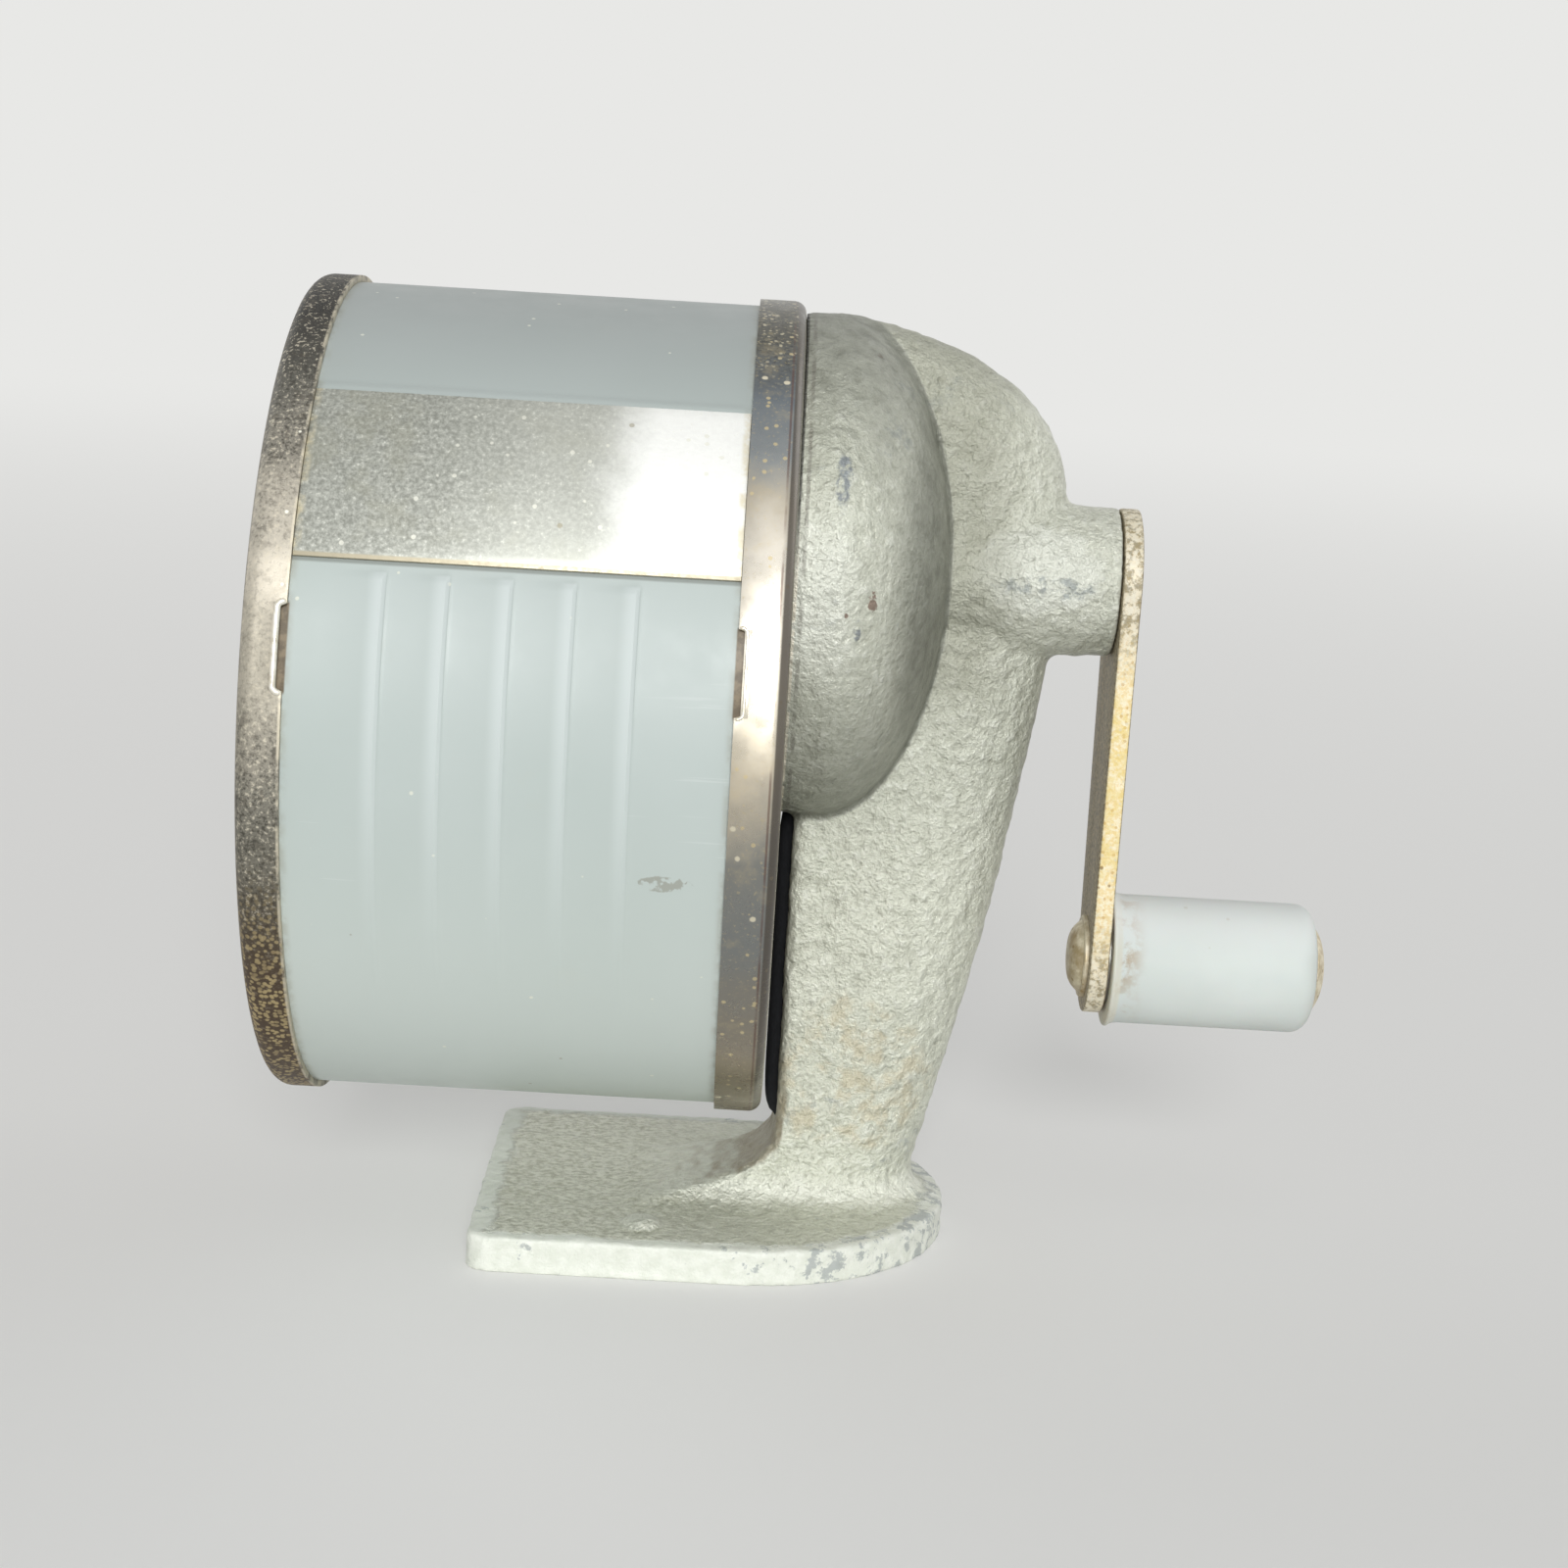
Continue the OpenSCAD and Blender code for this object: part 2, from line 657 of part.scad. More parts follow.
// Profile of a stamped cup with its face at height 0: radius, corner and skirt
module cup(r, corner, skirt) {
    rotate_extrude() polygon([
        [0, 0],
        for (a = [-90 : 15 : 0]) [r - corner + corner * cos(a), corner + corner * sin(a)],
        [r, skirt], [r - cap_gauge, skirt],
        for (a = [0 : -15 : -90])
            [r - corner + (corner - cap_gauge) * cos(a), corner + (corner - cap_gauge) * sin(a)],
        [0, cap_gauge]
    ]);
}

// Slots in a skirt's edge, seen from the cup's face, with a raised lip behind each
module crimp_slots(skirt) {
    for (a = [crimp_low_angle, 180 - crimp_high_angle])
        translate([0, 0, skirt - crimp_w])
            sector(cap_r - cap_gauge - over / 2, cap_r + over, crimp_w + over, a, a + crimp_span);
}

module crimp_lips(skirt) {
    for (a = [crimp_low_angle, 180 - crimp_high_angle])
        translate([0, 0, skirt - crimp_w - crimp_lip_w])
            sector(cap_r - cap_gauge / 2, cap_r + crimp_lip, crimp_lip_w, a, a + crimp_span);
}

module front_cap() {
    color("dimgray") difference() {
        axial(drum_front_x, drum_axis_h) difference() {
            union() {
                cup(cap_r, front_corner_r, front_skirt_w);
                crimp_lips(front_skirt_w);
            }
            crimp_slots(front_skirt_w);
        }
        axial(drum_front_x, crank_z) bore(cap_gauge, window_r);
        axial(drum_front_x, drum_axis_h) {
            bore(cap_gauge, dial_pin_r + fix_clear);
            translate([0, -index_ring_r, 0]) bore(cap_gauge, index_hole_r + fix_clear);
        }
    }
}

// Rear cap, whose opening turns on the lock plate's collar; the lugs pass
// through its notches when the drum is twisted
module rear_cap() {
    notch = lug_angle / 2 + lug_play;
    color("dimgray") difference() {
        translate([drum_rear_x, 0, drum_axis_h]) rotate([90, 0, 90]) mirror([0, 0, 1]) difference() {
            union() {
                cup(cap_r, rear_corner_r, rear_skirt_w);
                crimp_lips(rear_skirt_w);
            }
            crimp_slots(rear_skirt_w);
        }
        axial(drum_rear_x - cap_gauge, crank_z) {
            bore(cap_gauge, collar_r + run_clear);
            for (a = lug_places)
                translate([0, 0, -over])
                    sector(collar_r - over, collar_r + lug_h + face_gap, cap_gauge + 2 * over,
                        a - twist - notch, a - twist + notch);
        }
    }
}

module nameplate() {
    color("lightgray") axial(front_skirt_x + fix_clear, drum_axis_h)
        sector(shell_r + fix_clear, shell_r + nameplate_t, rear_skirt_x - front_skirt_x - 2 * fix_clear,
            180 - plate_high_angle, 180 - plate_low_angle);
}

/* Size dial */

module dial_rivet() {
    inner_x = drum_front_x + cap_gauge + spring_t + dial_washer_t + 3 * fix_clear;
    head_x = dial_x - face_gap / 2;
    color("wheat") union() {
        axial(head_x, drum_axis_h) rotate([180, 0, 0]) dome_head(dial_head_r, dial_head_t);
        axial(head_x - 0.2, drum_axis_h) cylinder(h = inner_x - head_x + 0.4, r = dial_pin_r);
        axial(inner_x, drum_axis_h) dome_head(dial_head_r - 0.6, 0.9);
    }
}

module dial_washer() {
    color("silver") axial(drum_front_x + cap_gauge + spring_t + 2 * fix_clear, drum_axis_h) difference() {
        cylinder(h = dial_washer_t, r = dial_head_r);
        bore(dial_washer_t, dial_pin_r + fix_clear);
    }
}

// Leaf held by the dial's rivet, with a nose that points at the dial's index holes
module detent_spring() {
    leaf_x = drum_front_x + cap_gauge + fix_clear;
    nose_l = leaf_x - drum_front_x + face_gap / 2;
    color("silver") axial(leaf_x, drum_axis_h) difference() {
        union() {
            translate([-spring_w / 2, -index_ring_r - leaf_end, 0])
                cube([spring_w, index_ring_r + leaf_end + dial_head_r, spring_t]);
            translate([0, -index_ring_r, -nose_l])
                cylinder(h = nose_l + spring_t / 2, r = index_hole_r - nose_clear);
        }
        bore(spring_t, dial_pin_r + fix_clear);
    }
}

// Radius of guide hole i, counted from the standard one
function guide_hole(i) =
    let (standard = round((pencil_hole_r - small_hole_r) / hole_step))
    small_hole_r + ((i + standard) % hole_count) * hole_step;

// Round dial with eight guide holes, the standard one on the crank axis
module size_dial() {
    color("gray") axial(dial_x, drum_axis_h) difference() {
        cylinder(h = dial_t, r = dial_r);
        bore(dial_t, dial_pin_r + run_clear);
        for (i = [0 : hole_count - 1]) rotate([0, 0, i * 360 / hole_count]) {
            translate([0, crank_rise, 0]) bore(dial_t, i == 0 ? pencil_hole_r : guide_hole(i));
            translate([0, -index_ring_r, 0]) bore(dial_t, index_hole_r);
        }
    }
}

frame_casting();
lock_plate();
plate_screws();
ring_gear();
crank_shaft();
crank_arm();
cutter_carrier();
carrier_screw();
thrust_washer();
cutter_pin(1);  // cutter_pin_1
cutter_pin(2);  // cutter_pin_2
cutter_washers();
knob_spindle();
knob_washer();
knob();
cutter(1);  // cutter_1
cutter(2);  // cutter_2
drum_shell();
front_cap();
rear_cap();
nameplate();
dial_rivet();
dial_washer();
detent_spring();
size_dial();
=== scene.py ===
"""Looks of the crank pencil sharpener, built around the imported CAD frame.

Metres, +Z up. The drum's and the crank's axes run along X, the crank is at +X, and the
nameplate is on the -Y side, which the camera sees.
"""

import math

import bmesh
import bpy
from mathutils import Matrix, Vector, noise

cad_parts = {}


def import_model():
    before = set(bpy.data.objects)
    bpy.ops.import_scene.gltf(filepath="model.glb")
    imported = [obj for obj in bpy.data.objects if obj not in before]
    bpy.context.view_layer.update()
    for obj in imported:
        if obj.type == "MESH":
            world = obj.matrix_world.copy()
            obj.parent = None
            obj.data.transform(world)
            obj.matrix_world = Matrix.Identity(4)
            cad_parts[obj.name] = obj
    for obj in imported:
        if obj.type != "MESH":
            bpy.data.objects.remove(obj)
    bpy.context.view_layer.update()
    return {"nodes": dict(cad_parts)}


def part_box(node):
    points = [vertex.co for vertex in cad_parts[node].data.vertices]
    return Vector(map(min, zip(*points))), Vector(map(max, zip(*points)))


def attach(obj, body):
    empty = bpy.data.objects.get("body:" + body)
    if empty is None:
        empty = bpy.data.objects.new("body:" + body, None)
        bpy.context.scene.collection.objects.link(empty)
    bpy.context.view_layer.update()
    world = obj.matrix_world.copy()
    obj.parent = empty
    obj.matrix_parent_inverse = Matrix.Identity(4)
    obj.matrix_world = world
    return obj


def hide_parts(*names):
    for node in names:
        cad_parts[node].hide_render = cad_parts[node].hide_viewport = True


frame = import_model()
scene = bpy.context.scene
MM = 0.001

# ---------------------------------------------------------------- places, from the CAD frame

shell_lo, shell_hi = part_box("drum_shell")
front_lo, front_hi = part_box("front_cap")
rear_lo, rear_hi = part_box("rear_cap")
cast_lo, cast_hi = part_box("frame_casting")
shaft_lo, shaft_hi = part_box("crank_shaft")
arm_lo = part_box("crank_arm")[0]
knob_lo, knob_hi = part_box("knob")
spindle_lo, spindle_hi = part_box("knob_spindle")
plate_lo, plate_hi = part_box("nameplate")

BASE_L, BASE_W, BASE_TOP = 52 * MM, 46 * MM, 4 * MM
BASE_HALF_W = BASE_W / 2
BASE_ROUND_X = cast_lo.x + BASE_L - BASE_HALF_W
NUB_X, NUB_Y, NUB_R, NUB_H = -7.54 * MM, -16.1 * MM, 2.2 * MM, 0.80 * MM
DRUM_Z = (front_lo.z + front_hi.z) / 2
CRANK_Z = (shaft_lo.z + shaft_hi.z) / 2
KNOB_Z = (knob_lo.z + knob_hi.z) / 2
CAP_R = (rear_hi.y - rear_lo.y) / 2
SHELL_R = (shell_hi.y - shell_lo.y) / 2
SHELL_WALL = 1.8 * MM
SKIRT_FRONT_X, SKIRT_REAR_X = front_hi.x, rear_lo.x
BACK_X = rear_hi.x
RIM_X, CAST_RIM_X = BACK_X + 0.12 * MM, BACK_X + 0.45 * MM
DOME_X, DOME_R, DOME_DEEP = BACK_X + 3.8 * MM, 27.2 * MM, 13.5 * MM
ARM_GAP = 0.16 * MM

# angles in degrees, from level at either side of the drum up to its top
PLATE_LOW = 25.1
CRIMP_LOW, CRIMP_HIGH = 7.9, 18.9
LIP_LOW, LIP_HIGH = 50.7, 52.4
FLUTE_TOP, FLUTE_FADE = 23.9, -52

# the grip flutes, by the x of each one's rear end
FLUTE_PITCH, FLUTE_H = 6.03 * MM, 0.34 * MM
FLUTE_X = [-34.03 * MM + FLUTE_PITCH * i for i in range(5)]


# ---------------------------------------------------------------- mesh helpers

def link(obj):
    scene.collection.objects.link(obj)
    return obj


def shade(obj, angle=40):
    obj.data.shade_smooth()
    obj.data.set_sharp_from_angle(angle=math.radians(angle))


def mesh_piece(name, verts, faces, smooth_angle=40, outward=True):
    """A new mesh object; its faces are turned outwards unless it is an open sheet."""
    mesh = bpy.data.meshes.new(name)
    mesh.from_pydata(verts, [], faces)
    mesh.validate()
    mesh.update()
    obj = link(bpy.data.objects.new(name, mesh))
    shade(obj, smooth_angle)
    if outward:
        bm = bmesh.new()
        bm.from_mesh(mesh)
        bmesh.ops.recalc_face_normals(bm, faces=bm.faces)
        bm.to_mesh(mesh)
        bm.free()
    return obj


def copy_of(node, name):
    """A free copy of a CAD node's mesh, welded and with its flat triangles joined."""
    mesh = frame["nodes"][node].data.copy()
    mesh.materials.clear()
    obj = link(bpy.data.objects.new(name, mesh))
    bm = bmesh.new()
    bm.from_mesh(mesh)
    bmesh.ops.remove_doubles(bm, verts=bm.verts, dist=2e-6)
    bmesh.ops.dissolve_limit(bm, angle_limit=math.radians(0.3), verts=bm.verts, edges=bm.edges)
    bm.to_mesh(mesh)
    bm.free()
    stored_normals = mesh.attributes.get("custom_normal")
    if stored_normals is not None:
        mesh.attributes.remove(stored_normals)
    return obj


def apply_modifiers(obj):
    deps = bpy.context.evaluated_depsgraph_get()
    made = bpy.data.meshes.new_from_object(obj.evaluated_get(deps), depsgraph=deps)
    old = obj.data
    obj.modifiers.clear()
    obj.data = made
    bpy.data.meshes.remove(old)


def round_edges(obj, width, segments, angle, smooth_angle):
    """Rounds the edges that are sharper than an angle."""
    mod = obj.modifiers.new("edge", "BEVEL")
    mod.width = width
    mod.segments = segments
    mod.limit_method = "ANGLE"
    mod.angle_limit = math.radians(angle)
    mod.use_clamp_overlap = True
    apply_modifiers(obj)
    shade(obj, smooth_angle)


def rounded(node, name, width, segments=2):
    """A copy of a CAD node with its hard edges rounded."""
    obj = copy_of(node, name)
    round_edges(obj, width, segments, 32, 32)
    return obj


def lathe(name, rows, centre_z, segments, closed=True):
    """Turns rows of (x, radius) about the X axis at height centre_z."""
    verts, rings = [], []
    for x, r in rows:
        count = 1 if r < 1e-7 else segments
        rings.append(range(len(verts), len(verts) + count))
        for i in range(count):
            a = 2 * math.pi * i / segments
            verts.append((x, r * math.cos(a), centre_z + r * math.sin(a)))
    pairs = list(zip(rings, rings[1:]))
    if closed:
        pairs.append((rings[-1], rings[0]))
    faces = []
    for a, b in pairs:
        for i in range(segments):
            j = (i + 1) % segments
            if len(a) == 1:
                faces.append((a[0], b[i], b[j]))
            elif len(b) == 1:
                faces.append((a[i], b[0], a[j]))
            else:
                faces.append((a[i], b[i], b[j], a[j]))
    return mesh_piece(name, verts, faces, 35)


def arc(cx, cr, radius, start, end, steps):
    """Points of an arc in (x, radius) space, angles in degrees from +x towards +radius."""
    angles = [math.radians(start + (end - start) * i / steps) for i in range(steps + 1)]
    return [(cx + radius * math.cos(a), cr + radius * math.sin(a)) for a in angles]


def smoothstep(a, b, v):
    t = min(1.0, max(0.0, (v - a) / (b - a)))
    return t * t * (3 - 2 * t)


def place(obj, body, material, slot, *nodes):
    """Puts a piece on a body with its material, and hides the CAD nodes that it stands for; its
    slot is not used.
    """
    obj.data.materials.clear()
    obj.data.materials.append(material)
    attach(obj, body)
    if nodes:
        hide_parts(*nodes)


def dress(node, material):
    """Gives a shown CAD node its material."""
    obj = frame["nodes"][node]
    if not obj.material_slots:
        obj.data.materials.append(material)
    for s in obj.material_slots:
        s.material = material


# ---------------------------------------------------------------- material helpers

def lin(c):
    c /= 255
    return c / 12.92 if c <= 0.04045 else ((c + 0.055) / 1.055) ** 2.4


def rgb(r, g, b):
    """A display colour, 0 to 255, as the linear colour that a socket takes."""
    return (lin(r), lin(g), lin(b), 1.0)


class Finish:
    """A node material, with short names for its nodes and a colour that is built up in layers."""

    def __init__(self, name):
        self.material = bpy.data.materials.new(name)
        self.material.use_nodes = True
        self.tree = self.material.node_tree
        self.tree.nodes.clear()
        self.out = self.tree.nodes.new("ShaderNodeOutputMaterial")
        self.bsdf = self.tree.nodes.new("ShaderNodeBsdfPrincipled")
        self.tree.links.new(self.bsdf.outputs[0], self.out.inputs[0])
        self.coords = self.tree.nodes.new("ShaderNodeTexCoord").outputs["Object"]
        split = self.tree.nodes.new("ShaderNodeSeparateXYZ")
        self.tree.links.new(self.coords, split.inputs[0])
        self.x, self.y, self.z = split.outputs
        self.colour = None

    def put(self, socket, value):
        """Links a node's output to a socket, or sets the socket. Three numbers are a colour."""
        if isinstance(value, bpy.types.NodeSocket):
            self.tree.links.new(value, socket)
        elif isinstance(value, tuple) and len(value) == 3:
            socket.default_value = rgb(*value)
        else:
            socket.default_value = value

    def done(self, **values):
        """Sets the shader's inputs, with the layered colour, and gives the material."""
        self.put(self.bsdf.inputs["Base Color"], self.colour)
        for key, value in values.items():
            self.put(self.bsdf.inputs[key.replace("_", " ")], value)
        return self.material

    # numbers

    def math(self, op, a, b=0.0):
        n = self.tree.nodes.new("ShaderNodeMath")
        n.operation = op
        self.put(n.inputs[0], a)
        self.put(n.inputs[1], b)
        return n.outputs[0]

    def add(self, a, b):
        return self.math("ADD", a, b)

    def sub(self, a, b):
        return self.math("SUBTRACT", a, b)

    def mul(self, *values):
        out = values[0]
        for v in values[1:]:
            out = self.math("MULTIPLY", out, v)
        return out

    def either(self, *masks):
        """The larger of several masks."""
        out = masks[0]
        for m in masks[1:]:
            out = self.math("MAXIMUM", out, m)
        return out

    def unless(self, mask):
        return self.sub(1.0, mask)

    def length(self, a, b):
        return self.math("SQRT", self.add(self.mul(a, a), self.mul(b, b)))

    def remap(self, value, low, high, to_low=0.0, to_high=1.0, smooth=True):
        n = self.tree.nodes.new("ShaderNodeMapRange")
        n.interpolation_type = "SMOOTHSTEP" if smooth else "LINEAR"
        self.put(n.inputs["Value"], value)
        n.inputs["From Min"].default_value = low
        n.inputs["From Max"].default_value = high
        n.inputs["To Min"].default_value = to_low
        n.inputs["To Max"].default_value = to_high
        return n.outputs[0]

    def within(self, value, low, low_full, high_full, high):
        """Mask of a range of values, soft at both ends."""
        return self.mul(self.remap(value, low, low_full), self.remap(value, high, high_full))

    def blend(self, fac, a, b):
        n = self.tree.nodes.new("ShaderNodeMix")
        n.data_type = "FLOAT"
        self.put(n.inputs["Factor"], fac)
        self.put(n.inputs[2], a)
        self.put(n.inputs[3], b)
        return n.outputs[0]

    # patterns

    def noise(self, scale, detail, rough, warp=0.0, vector=None):
        n = self.tree.nodes.new("ShaderNodeTexNoise")
        self.put(n.inputs["Vector"], vector or self.coords)
        n.inputs["Scale"].default_value = scale
        n.inputs["Detail"].default_value = detail
        n.inputs["Roughness"].default_value = rough
        n.inputs["Distortion"].default_value = warp
        return n.outputs["Fac"]

    def patches(self, scale, detail, rough, low, high, to_low=0.0, to_high=1.0):
        """Mask of the parts of a noise above a level, or below it where high is under low."""
        return self.remap(self.noise(scale, detail, rough), low, high, to_low, to_high)

    def wobble(self, value, amount, scale, detail, rough):
        """A value made ragged by a noise."""
        return self.add(value, self.mul(self.sub(self.noise(scale, detail, rough), 0.5), amount))

    def stretch(self, x, y, z):
        n = self.tree.nodes.new("ShaderNodeMapping")
        self.put(n.inputs["Vector"], self.coords)
        n.inputs["Scale"].default_value = (x, y, z)
        return n.outputs[0]

    def voronoi(self, scale):
        n = self.tree.nodes.new("ShaderNodeTexVoronoi")
        self.put(n.inputs["Vector"], self.coords)
        n.inputs["Scale"].default_value = scale
        return n

    def specks(self, scale, size, share):
        """Mask of small scattered round specks; only a share of the cells has one."""
        n = self.voronoi(scale)
        pick = self.tree.nodes.new("ShaderNodeSeparateColor")
        self.tree.links.new(n.outputs["Color"], pick.inputs[0])
        uneven = self.mul(self.noise(scale * 4, 2, 0.5), 0.5 * size)
        ragged = self.add(n.outputs["Distance"], uneven)
        spots = self.remap(ragged, size, 1.4 * size, 1.0, 0.0)
        return self.mul(spots, self.math("LESS_THAN", pick.outputs[0], share))

    def blotch(self, centre, size, scale, ragged):
        """Mask of one ragged patch; centre and half sizes are in millimetres."""
        parts = []
        for axis, c, half in zip((self.x, self.y, self.z), centre, size):
            d = self.mul(self.sub(axis, c * MM), 1 / (half * MM))
            parts.append(self.mul(d, d))
        far = self.add(self.add(parts[0], parts[1]), parts[2])
        return self.remap(self.wobble(far, 2 * ragged, scale, 4, 0.62), 1.1, 0.7)

    # places on the surface

    def creases(self, low, high):
        """Mask of sunk or of raised edges of the mesh."""
        n = self.tree.nodes.new("ShaderNodeNewGeometry")
        return self.remap(n.outputs["Pointiness"], low, high)

    def normal_x(self):
        geometry = self.tree.nodes.new("ShaderNodeNewGeometry")
        split = self.tree.nodes.new("ShaderNodeSeparateXYZ")
        self.tree.links.new(geometry.outputs["Normal"], split.inputs[0])
        return split.outputs[0]

    def turn(self):
        """Angle about the drum's axis in degrees, from level at either side up to the top."""
        rise = self.sub(self.z, DRUM_Z)
        angle = self.math("ARCTAN2", rise, self.math("ABSOLUTE", self.y))
        return self.mul(angle, 180 / math.pi)

    def band(self, low, high, soft):
        """Mask of the drum's surface between two of those angles."""
        return self.within(self.turn(), low - soft, low, high, high + soft)

    # colour

    def mix(self, fac, a, b):
        n = self.tree.nodes.new("ShaderNodeMix")
        n.data_type = "RGBA"
        self.put(n.inputs["Factor"], fac)
        self.put(n.inputs[6], a)
        self.put(n.inputs[7], b)
        return n.outputs[2]

    def tint(self, colour, *masks):
        """Lays a colour over the layers so far, as far as the product of the masks."""
        self.colour = self.mix(self.mul(*masks), self.colour, colour)

    def ramp(self, value, low, high, stops):
        """Colours at values between low and high, blended between the stops."""
        n = self.tree.nodes.new("ShaderNodeValToRGB")
        self.put(n.inputs[0], self.remap(value, low, high, smooth=False))
        points = n.color_ramp.elements
        while len(points) < len(stops):
            points.new(0.5)
        for point, (at, colour) in zip(points, stops):
            point.position = (at - low) / (high - low)
            point.color = rgb(*colour)
        return n.outputs[0]

    # relief

    def bump(self, height, strength, depth, normal=None):
        n = self.tree.nodes.new("ShaderNodeBump")
        self.put(n.inputs["Height"], height)
        n.inputs["Strength"].default_value = strength
        n.inputs["Distance"].default_value = depth
        if normal is not None:
            self.put(n.inputs["Normal"], normal)
        return n.outputs[0]


# ---------------------------------------------------------------- materials

def casting_paint():
    """Silver-grey paint over a rough sand casting, rubbed to cream at the base's edges."""
    f = Finish("casting_paint")
    rough = f.noise(430, 5, 0.58)
    fine = f.noise(1700, 4, 0.64)
    grain = f.noise(4600, 2, 0.5)
    lumps = f.noise(780, 2, 0.5, 0.2)
    f.colour = f.mix(f.patches(30, 3, 0.5, 0.35, 0.68), (203, 206, 191), (213, 215, 201))
    f.tint((228, 231, 215), f.remap(f.z, 54 * MM, 38 * MM), 0.55)
    # mottled, darker in the hollows and paler on the raised lumps and grain: partly the paint's own
    # mottle, partly painted shade and painted highlight of the relief
    f.tint((158, 160, 142), f.remap(rough, 0.49, 0.37), 0.20)
    f.tint((150, 151, 134), f.remap(fine, 0.49, 0.36), 0.26)
    f.tint((242, 244, 234), f.remap(fine, 0.55, 0.68), 0.26)
    f.tint((243, 245, 236), f.remap(lumps, 0.55, 0.72), 0.30)
    f.tint((158, 160, 144), f.remap(lumps, 0.46, 0.30), 0.22)
    # darker in sunk creases and paler on raised edges: partly dirt and wear, partly painted shade
    # and painted highlight
    f.tint((128, 130, 114), f.creases(0.50, 0.44), 0.30)
    f.tint((236, 238, 228), f.creases(0.51, 0.58), 0.30)
    stain = f.blotch((14.5, 0, 19), (9, 30, 9), 130, 1.0)
    f.tint((190, 172, 130), stain, f.patches(420, 4, 0.6, 0.40, 0.64), 0.42)

    # bare metal in scuffs, mostly along the boss, with paler paint around them
    crank_mm = CRANK_Z / MM
    scuff = f.either(
        f.blotch((31.5, 0, crank_mm - 0.2), (6.0, 30, 1.5), 420, 1.0),
        f.mul(f.remap(f.noise(60, 5, 0.66, 1.0), 0.60, 0.66), 0.7),
        f.mul(f.patches(95, 4, 0.6, 0.69, 0.77), 0.5),
    )
    scuff = f.mul(scuff, f.patches(900, 4, 0.62, 0.42, 0.62))
    f.tint((138, 147, 152), scuff, 0.6)
    halo = f.blotch((31.0, 0, crank_mm + 1.6), (7.5, 30, 5.0), 300, 0.6)
    f.tint((240, 243, 236), halo, f.unless(scuff), 0.30)
    f.tint((112, 84, 66), f.specks(170, 0.07, 0.10), f.patches(1500, 2, 0.5, 0.4, 0.55), 0.75)

    # the round housing: painted shade towards its top, bottom and crease, and a painted highlight
    # on its front middle; the spine darker towards its top
    rise = f.sub(f.z, CRANK_Z)
    from_axis = f.length(rise, f.y)
    back = f.mul(f.math("MAXIMUM", f.sub(f.x, DOME_X), 0.0), 1 / DOME_DEEP)
    skin = f.length(back, f.mul(from_axis, 1 / DOME_R))
    housing = f.mul(f.within(skin, 0.93, 0.955, 1.015, 1.035), f.remap(f.x, 26 * MM, 24 * MM))
    steep = f.math("ABSOLUTE", f.math("DIVIDE", rise, f.math("MAXIMUM", from_axis, 0.001)))
    housing_shade = f.either(
        f.mul(f.remap(steep, 0.25, 1.0, smooth=False), 0.78),
        f.mul(f.remap(back, 0.32, 0.76), 0.80),
    )
    f.tint((100, 102, 92), housing, housing_shade, f.remap(rough, 0.2, 0.7, 1.1, 0.8))
    spine = f.mul(f.remap(f.z, 55 * MM, 66 * MM), f.remap(f.x, 31 * MM, 24 * MM))
    f.tint((142, 142, 124), spine, f.unless(housing), 0.52)
    # painted highlight on the housing's front middle
    f.tint((238, 241, 234), housing, f.remap(back, 0.30, 0.0), f.remap(steep, 0.45, 0.1), 0.35)

    # marks on the housing
    rubbed = f.either(
        f.blotch((9.1, 0, crank_mm + 11.0), (1.1, 40, 3.6), 700, 0.9),
        f.blotch((11.3, 0, crank_mm - 3.4), (0.5, 40, 1.6), 700, 0.6),
    )
    f.tint((118, 126, 134), rubbed, f.patches(1100, 4, 0.62, 0.38, 0.56), 0.8)
    rusty = f.either(
        f.blotch((12.7, 0, crank_mm - 0.5), (0.7, 40, 1.2), 1500, 1.3),
        f.blotch((10.1, 0, crank_mm - 1.8), (0.35, 40, 0.4), 1500, 0.8),
    )
    f.tint((112, 82, 66), rusty, f.remap(f.y, 0.0, -2 * MM), 0.8)

    # its rim: a faint groove, chipped paint below, and painted shade of the gap against the drum
    # above
    lip_x = f.sub(f.x, RIM_X)
    groove = f.within(lip_x, 0.55 * MM, 0.75 * MM, 0.95 * MM, 1.15 * MM)
    f.tint((116, 112, 104), groove, f.patches(160, 4, 0.6, 0.38, 0.52), housing, 0.5)
    upper = f.remap(rise, -2 * MM, 10 * MM)
    chipped = f.mul(f.remap(lip_x, 0.42 * MM, 0.25 * MM), f.patches(800, 4, 0.66, 0.36, 0.52))
    f.tint((236, 228, 208), chipped, housing, f.unless(upper), 0.75)
    rim_gap_shade = f.mul(f.remap(lip_x, 0.30 * MM, 0.14 * MM), f.remap(f.x, 20 * MM, 10 * MM))
    f.tint((38, 36, 33), rim_gap_shade, upper, f.remap(from_axis, 24 * MM, 25 * MM), 0.85)

    # where column and base meet: a painted highlight along the fillet, and the drum's shadow
    # painted brown on the toe's front face
    above = f.sub(f.z, BASE_TOP)
    f.tint((242, 244, 232), f.within(above, 0.15 * MM, 0.8 * MM, 1.2 * MM, 3.4 * MM), 0.60)
    toe_drum_shadow = f.mul(
        f.remap(f.normal_x(), -0.16, -0.50),
        f.within(above, 0.4 * MM, 1.2 * MM, 9 * MM, 18 * MM),
    )
    f.tint((152, 138, 112), toe_drum_shadow, f.remap(rough, 0.3, 0.6, 0.85, 0.60))

